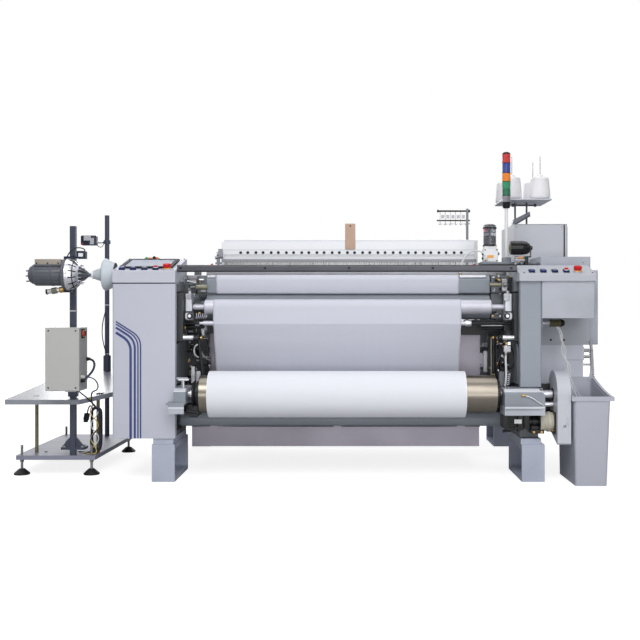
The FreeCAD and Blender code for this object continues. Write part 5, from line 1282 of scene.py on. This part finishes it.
def workLamp():
    x, y, z = 842.0, 252.0, 1175.0
    onRack("lampFace", [alongX([(x - 9, 0), (x - 7.5, 15), (x - 1.5, 30), (x + 0.2, 30), (x + 0.2, 0)], y,
        z)], oliveGrip)
    rings = [alongX([(s, 30), (s, r), (s + 3, r), (s + 3, 30)], y, z, 48)
        for s, r in ((x - 1.5, 35.8), (858, 36.9), (880, 36.9), (896, 36.9))]
    onRack("lampRings", rings + [alongX([(948, 0), (948, 10), (954, 11), (956, 9), (956, 0)], y, z, 12)],
        glossBlack)
    onRack("plugOrange", [rod((879, 236, 1123), (891, 236, 1123), 6),
        rod((893, 236, 1123), (903, 236, 1123), 6)], orangeGloss)
    onRack("plugGreen", [rod((904, 236, 1122), (912, 236, 1122), 6.5)], greenGloss)
    onRack("plugShelf", [rod((862, 236, 1121), (880, 236, 1122), 10), block(858, 914, 228, 256, 1108, 1115),
        rod((900, 250, 1090), (900, 250, 1109), 7)], plainSteel, bevel=1.0)
    onRack("lampTees", [rod((866, 262, 1092), (886, 262, 1106), 6),
        rod((902, 264, 1098), (935, 264, 1098), 7)], whitePlastic)


def cabinetTrim():
    onCabinet("cabinetSeam", [block(1196, 1203, 598.6, 600.4, 944, 1328),
        block(922.5, 1215.5, 598.9, 600.5, 1326, 1327.2)], blackPlastic)
    onCabinet("cabinetScrews", [screw((x, 600, z), toFront, 4, 1.5) for x in (934, 1186)
        for z in (956, 1314)], plainSteel)
    onCabinet("lockSlot", [block(1228, 1228.8, 641, 659, 1133.5, 1136.5)], blackPlastic, "door")
    hooks = [gathered([rod((x, 832, 1371), (x, 832, 1352), 1.4, 8),
        lathe([(0, 3.2), (0, 5), (2, 5), (2, 3.2)], (x, 836, 1347), toFront, 16)])
        for x in range(530, 681, 30)]
    plates = [block(x - 9, x + 9, 837.5, 839, 1383, 1404) for x in range(545, 681, 30)]
    onRack("guideEyes", hooks + plates, plainSteel)
    bars = [rod((516, 838, 1426), (704, 838, 1426), 5), rod((510, 838, 1371), (704, 838, 1371), 4)]
    onRack("guideBars", bars + [rod((x, 838, 1426), (x + 10, 838, 1426), 8) for x in (512, 694)],
        blackSteel)
    onRack("rackFoot", [slab([(928, 1332), (938, 1366), (1030, 1412), (1034, 1384)], 1, 718, 782)],
        flangePaint, bevel=2.0)


def sideCoverTrim():
    onCover("plateSeams", [block(1143, 1225.5, 273.4, 274.2, 589.4, 590.6)], blackPlastic)
    grip = [(4 + 2.6 * i + k, r) for i in range(19) for k, r in ((0, 18.5), (1.3, 16.8))]
    onCover("wasteRoll", [lathe([(0, 0), (0, 9), (2, 9), (2, 17)] + grip + [(56, 17), (56, 9), (58, 9),
        (58, 0)], (1010, 92, 786), toRight)], oliveGrip)
    onCover("wasteShaft", [rod((962, 92, 786), (1011, 92, 786), 11),
        rod((979, 92, 786), (985, 92, 786), 14)], brightSteel)
    onCover("wasteCap", [lathe([(0, 0), (0, 19), (4, 20), (10, 17), (20, 12), (20, 0)], (1067, 92, 786),
        toRight, 30)], blackPlastic)
    sleeve = pipe([(1272, 330, 700), (1272, 300, 684), (1272, 290, 660), (1273, 284, 620), (1274, 280, 570),
        (1272, 276, 530), (1264, 270, 500), (1246, 260, 484)], 8, toRight, 16)
    onCover("clearSleeve", [sleeve], sleevePlastic)
    onCover("sideCoil", [spring((1272, 290, 640), (1278, 276, 478), 9, 2.4, 15)], blackSteel)
    side = [rod((1226, 290, 640), (1262, 290, 640), 9), rod((1226, 290, 606), (1264, 290, 606), 7),
        block(1218, 1232, 277, 300, 590, 660), block(1226, 1266, 286, 296, 560, 570)]
    onCover("sideKnobs", side, plainSteel, bevel=1.0)


# ---- feeder, its cone and the stand

feederAxis = (105.0, 1031.0)   # depth and height of the feeder's shaft


def feeder():
    y, z = feederAxis
    housing = alongX([(-1588, 0), (-1588, 52), (-1584, 55.8), (-1450, 55.8), (-1441, 52), (-1441, 0)], y, z,
        56)
    ribs = [fanned(block(start, end, -1.6, 1.6, 53, 57.2), y, z, 20, 0.16)
        for start, end in ((-1580, -1500), (-1494, -1456))]
    onFeeder("feederHousing", [housing] + ribs, slatePaint, stands=("feeder_body",))
    cap = [alongX([(-1617, 0), (-1617, 30), (-1611, 40), (-1600, 46), (-1588, 48), (-1588, 0)], y, z)]
    cap += [alongX([(s, 30), (s, 47.8), (s + 2.2, 47.8), (s + 2.2, 30)], y, z) for s in (-1599, -1594)]
    cap += [rod((-1612, y + a, z + b), (-1626, y + a, z + b), 3.5)
        for a, b in ((-30, -8), (-22, -34), (-26, 18))]
    onFeeder("feederCap", cap, slatePaint)
    lid = raised(softOutline([(-1580, y - 40), (-1447, y - 40), (-1447, y + 40), (-1580, y + 40)], 6),
        z + 46, z + 77)
    band = alongX([(-1500, 50), (-1500, 58.4), (-1494, 58.4), (-1494, 50)], y, z, 56)
    onFeeder("feederLid", [lid], beigePaint, bevel=2.5)
    onFeeder("feederBand", [band, block(-1584, -1444, y - 44, y - 36, z + 42, z + 50)], flangePaint)
    heads = [screw((x, y - 40, z + 56), toFront, 4, 2) for x in (-1568, -1514, -1460)]
    onFeeder("feederScrews", heads + [screw((-1514, y, z + 77), toTop, 4, 2)], blackSteel)
    flange = alongX([(-1441, 0), (-1441, 78), (-1438, 82.5), (-1430, 82.5), (-1428.5, 80), (-1428.5, 12),
        (-1396, 12), (-1396, 0)], y, z, 72)
    hanger = [block(-1500, -1446, 140, 200, 1004, 1058), block(-1447, -1431, 186, 200, 1004, 1058)]
    onFeeder("feederFlange", [flange] + hanger, flangePaint, bevel=0.8)
    nose = alongX([(-1396, 0), (-1396, 20), (-1378, 20), (-1372, 26), (-1352, 24), (-1340, 14), (-1322, 12),
        (-1308, 6), (-1307, 0)], y, z, 32)
    arm = slab([(-1392, 20), (-1392, 38), (-1366, 39), (-1340, 30), (-1318, 12), (-1322, 6), (-1352, 22),
        (-1372, 24)], 1, -3, 3)
    onFeeder("feederNose", [nose, fanned(arm, y, z, 10, 0.2)], slatePaint, bevel=0.6)
    drum = alongX([(-1419, 60), (-1419, 83), (-1408, 82), (-1384, 70), (-1366, 54), (-1360, 44),
        (-1364, 40), (-1398, 40)], y, z, 56)
    onFeeder("winderDrum", [drum], brightSteel, "winder")
    slot = slab([(-1405, 76), (-1404, 81.5), (-1384, 71.5), (-1368, 57), (-1370, 52)], 1, -2.6, 2.6)
    eye = lathe([(0, 0), (0, 4.5), (2, 3.5), (2, 0)], (-1409, 0, 79.6), (0.3, 0, 1), 12)
    groove = alongX([(-1386, 64), (-1386, 72.6), (-1382.5, 70.6), (-1382.5, 64)], y, z, 56)
    onFeeder("winderSlots", [fanned(slot, y, z, 14), fanned(eye, y, z, 14, 0.22), groove], blackSteel,
        "winder")
    onFeeder("winderTips", [fanned(rod((-1362, 0, 46), (-1346, 0, 48), 2.2, 10), y, z, 14, 0.11)],
        brightSteel, "winder")
    sensor = [raised(softOutline([(-1374, 82), (-1330, 82), (-1330, 128), (-1374, 128)], 5), z + 80,
        z + 119), block(-1432, -1372, 92, 118, z + 84, z + 92),
        block(-1441, -1428, 92, 118, z + 70, z + 92)]
    onFeeder("yarnSensor", sensor, blueBlack, bevel=2.0)
    onFeeder("sensorFace", [block(-1364, -1340, 80.6, 82.4, z + 90, z + 108)], whitePlastic)
    onFeeder("feederPlugs", [rod((-1500, 92, z - 84), (-1474, 92, z - 79), 16),
        rod((-1440, 96, z - 75), (-1424, 97, z - 73), 10)], oliveSteel)
    onFeeder("plugNuts", [rod((-1462, 94, z - 78), (-1440, 96, z - 75), 15)], brassMetal)
    onFeeder("plugEnds", [rod((-1524, 92, z - 87), (-1498, 92, z - 83), 12),
        rod((-1475, 93, z - 79), (-1461, 94, z - 77), 12)], brightSteel)
    onFeeder("plugRings", [rod((-1529, 92, z - 88), (-1521, 92, z - 87), 14),
        block(-1444, -1402, 88, 120, z - 90, z - 62), block(-1446, -1428, 96, 140, z - 66, z - 50)],
        blackSteel)
    rings = [alongX([(-1299, 16), (-1299, 20.5), (-1294, 21.5), (-1291, 20.5), (-1291, 18)], y, z),
        alongX([(-1240.5, 62), (-1240.5, 71), (-1236, 71), (-1236, 62)], y, z, 48)]
    onCone("coneRings", rings, whitePlastic)
    onCone("coneClips", [block(-1246, -1234, 98, 112, z + side * 40 - 3, z + side * 40 + 3)
        for side in (-1, 1)], blackSteel, bevel=1.0)


def trayHeight(y):   # the tray slopes up from its front edge
    return 391 + (y - 170) * 100 / 840


def standTrim():
    rings = [lathe([(0, 13), (0, 14.3), (4, 14.3), (4, 13)], (-1438, 960, h), steps=32) for h in (878, 588)]
    rings.append(block(-1442.8, -1411.2, 199.2, 230.8, 845, 849))
    onPost("tapeRings", rings, whitePlastic)
    onBox("boxScrews", [screw((x, 45, z), toFront, 4.2, 2) for x in (-1504, -1367) for z in (462, 748)],
        blackSteel)
    onBox("switchSeat", [block(-1350.2, -1345.6, 86, 134, 709, 757)], blackPlastic, bevel=0.8)
    onBox("switchRing", [alongX([(-1345.6, 15), (-1345.6, 18.5), (-1344.8, 18.5), (-1344.8, 15)], 110, 733,
        36)], yellowGloss)
    gland = turned([(0, 0), (0, 11.5), (8, 11.5), (9, 8.5), (19, 8.5), (20, 6), (20, 0)], 6)
    onBox("boxGlands", [placed(gland, (-1350, y, z), toRight) for y, z in ((82, 496), (186, 600))],
        blackPlastic)
    onPost("eyeCase", [raised(softOutline([(-1589, 941.5), (-1540, 941.5), (-1540, 978), (-1589, 978)], 4),
        1236, 1291)], blueBlack, bevel=2.5)
    onPost("eyeBracket", [block(-1572, -1530, 940, 941.6, 1262, 1290),
        block(-1535, -1512, 941.6, 943, 1240, 1276), rod((-1500, 960, 1252), (-1462, 960, 1252), 6.5)],
        brightSteel, bevel=0.5)
    onPost("eyeMark", [block(-1584, -1576, 940.4, 941.8, 1238, 1248)], redGloss)
    bolts = [hexHead((x, y, 142), toTop, 13, 7) for x in (-1474, -1380) for y in (212, 266)]
    bolts += [hexHead((x, y, 101), toTop, 16, 8) for x, y in ((-1600, 320), (-1600, 700), (-1380, 980))]
    feet = ((-1695, 222), (-1334, 222), (-1322, 1012), (-1695, 1012))
    threads = [spring((x, y, low), (x, y, high), 6.2, 0.8, (high - low) / 2.4) for x, y in feet
        for low, high in ((34, 66), (103, 150))]
    onStand("standBolts", bolts + threads, plainSteel)
    onStand("padRings", [lathe([(5, 38), (5, 41), (8, 41), (9, 38)], (x, y, 0)) for x, y in feet], rubber)
    slots = [block(x, x + 5, 300, 352, trayHeight(326) - 4, trayHeight(326) + 3.6)
        for x in (-1330, -1318, -1306)]
    slots += [block(-1648, -1620, 262, 268, trayHeight(265) - 3, trayHeight(265) + 1)]
    onStand("traySlots", slots, blackPlastic)
    onStand("trayClamp", [block(-1300, -1244, 560, 640, trayHeight(600), trayHeight(600) + 34)], beamPaint,
        bevel=2.0)


# ---- hoses, short cables and waste yarn, in rows like those of leads

hoses = {
    "pumpHose": (4.5, 0.275, whiteHose, "object", [(727, 323, 1116), (727, 314, 1124), (721, 326, 1146),
        (704, 356, 1163), (676, 384, 1171), (642, 404, 1160), (614, 420, 1120), (600, 425, 1080),
        (600, 425, 1048)]),
    "airHose": (5.5, 0.232, whiteHose, "object", [(796, 108, 673), (796, 110, 640), (794, 112, 600),
        (797, 114, 560), (798, 118, 510), (795, 126, 470), (791, 140, 446)]),
    "oilLine": (2.6, 0.114, whiteHose, "object", [(858, -97, 436), (876, -100, 432), (898, -100, 420),
        (922, -99, 402), (944, -92, 389), (952, -80, 384)]),
    "loopHose": (4.0, 0.532, whiteHose, "object", [(-742, 396, 600), (-760, 300, 604), (-776, 206, 606),
        (-790, 176, 618), (-797, 172, 644), (-790, 174, 668), (-776, 180, 676), (-768, 190, 656),
        (-764, 240, 620), (-750, 330, 590), (-744, 392, 580)]),
    "loopBlack": (4.5, 0.503, rubber, "object", [(-806, 396, 606), (-812, 320, 650), (-812, 250, 672),
        (-808, 204, 652), (-800, 186, 612), (-784, 186, 582), (-766, 204, 566), (-754, 272, 560),
        (-748, 340, 560), (-744, 394, 566)]),
    "rightLoop": (3.6, 0.586, rubber, "object", [(806, 396, 606), (818, 320, 650), (830, 230, 672),
        (842, 170, 640), (848, 150, 598), (840, 148, 562), (822, 160, 548), (808, 220, 552),
        (798, 320, 560), (796, 394, 566)]),
    "rightLoopTwo": (3.0, 0.517, cableJacket, "object",
        [(764, 396, 600), (776, 320, 660), (784, 240, 668), (780, 190, 630), (768, 176, 590),
        (768, 190, 560), (784, 240, 542), (780, 330, 548), (772, 394, 566)]),
    "eyeLead": (3.0, 0.132, rubber, "connector", [(-1430, 105, 1112), (-1424, 105, 1130),
        (-1404, 104, 1156), (-1380, 104, 1168), (-1352, 104, 1166), (-1337, 105, 1158),
        (-1336, 105, 1146)]),
    "whiteLead": (2.8, 0.397, whiteHose, "object", [(-1352, 216, 400), (-1338, 236, 372), (-1320, 260, 350),
        (-1308, 266, 322), (-1322, 264, 296), (-1344, 266, 272), (-1350, 266, 246), (-1334, 264, 222),
        (-1312, 266, 200), (-1308, 268, 172), (-1326, 268, 146), (-1350, 268, 124), (-1376, 270, 107),
        (-1404, 266, 106)]),
    "yellowLead": (2.6, 0.419, yellowJacket, "object", [(-1346, 214, 400), (-1330, 232, 376),
        (-1336, 250, 352), (-1352, 256, 330), (-1344, 254, 300), (-1318, 254, 276), (-1306, 256, 250),
        (-1320, 256, 222), (-1342, 256, 200), (-1346, 256, 172), (-1328, 254, 144), (-1314, 250, 120),
        (-1316, 240, 106), (-1336, 232, 104.5), (-1360, 240, 104.5), (-1380, 262, 104.5)]),
    "blackLead": (3.4, 0.529, cableJacket, "object", [(-1404, 214, 436), (-1380, 200, 420),
        (-1352, 210, 396), (-1330, 240, 360), (-1300, 262, 320), (-1294, 268, 270), (-1312, 258, 230),
        (-1340, 252, 196), (-1352, 256, 156), (-1336, 258, 122), (-1318, 266, 106), (-1322, 282, 104.8),
        (-1352, 296, 104.8), (-1390, 290, 104.8), (-1412, 262, 112)]),
    "wasteYarnOne": (1.5, 0.39, bobbinYarn, "bare", [(1046, 92, 768), (1062, 84, 740), (1078, 88, 690),
        (1070, 92, 640), (1098, 96, 596), (1112, 92, 540), (1104, 84, 500), (1124, 80, 462),
        (1140, 72, 430), (1150, 66, 404)]),
    "wasteYarnTwo": (1.3, 0.407, bobbinYarn, "bare", [(1054, 92, 768), (1074, 82, 742), (1068, 86, 700),
        (1092, 94, 650), (1088, 96, 610), (1120, 90, 570), (1110, 84, 520), (1136, 80, 470),
        (1162, 76, 420), (1174, 70, 392)]),
    "wasteYarnThree": (1.3, 0.405, bobbinYarn, "bare", [(1050, 92, 768), (1068, 90, 748), (1060, 80, 716),
        (1084, 86, 676), (1076, 94, 630), (1104, 90, 590), (1098, 82, 548), (1128, 86, 500),
        (1122, 78, 452), (1152, 70, 414), (1166, 68, 398)]),
    "wasteYarnFour": (1.3, 0.402, bobbinYarn, "bare", [(1058, 92, 768), (1080, 88, 736), (1074, 80, 690),
        (1100, 88, 652), (1090, 94, 612), (1112, 86, 574), (1124, 92, 532), (1112, 80, 486),
        (1144, 76, 444), (1138, 70, 416), (1158, 64, 396)]),
}


clothWeb()
woundCloth()
warpYarns()
woundWarp()
threadBobbins()
print("cloth, warp and bobbins made")

consoles()
beamTrim()
works("left", leftWorks)
works("right", rightWorks)
clampEyes()
fittings()
drive()
print("consoles, trim and mechanisms made")

harnessTrim()
sleyTrim()
stopTrim()
signalLamp()
greasePump()
healdLever()
workLamp()
cabinetTrim()
sideCoverTrim()
feeder()
standTrim()
layLines(hoses)
print("harness, lamps, feeder and hoses made")
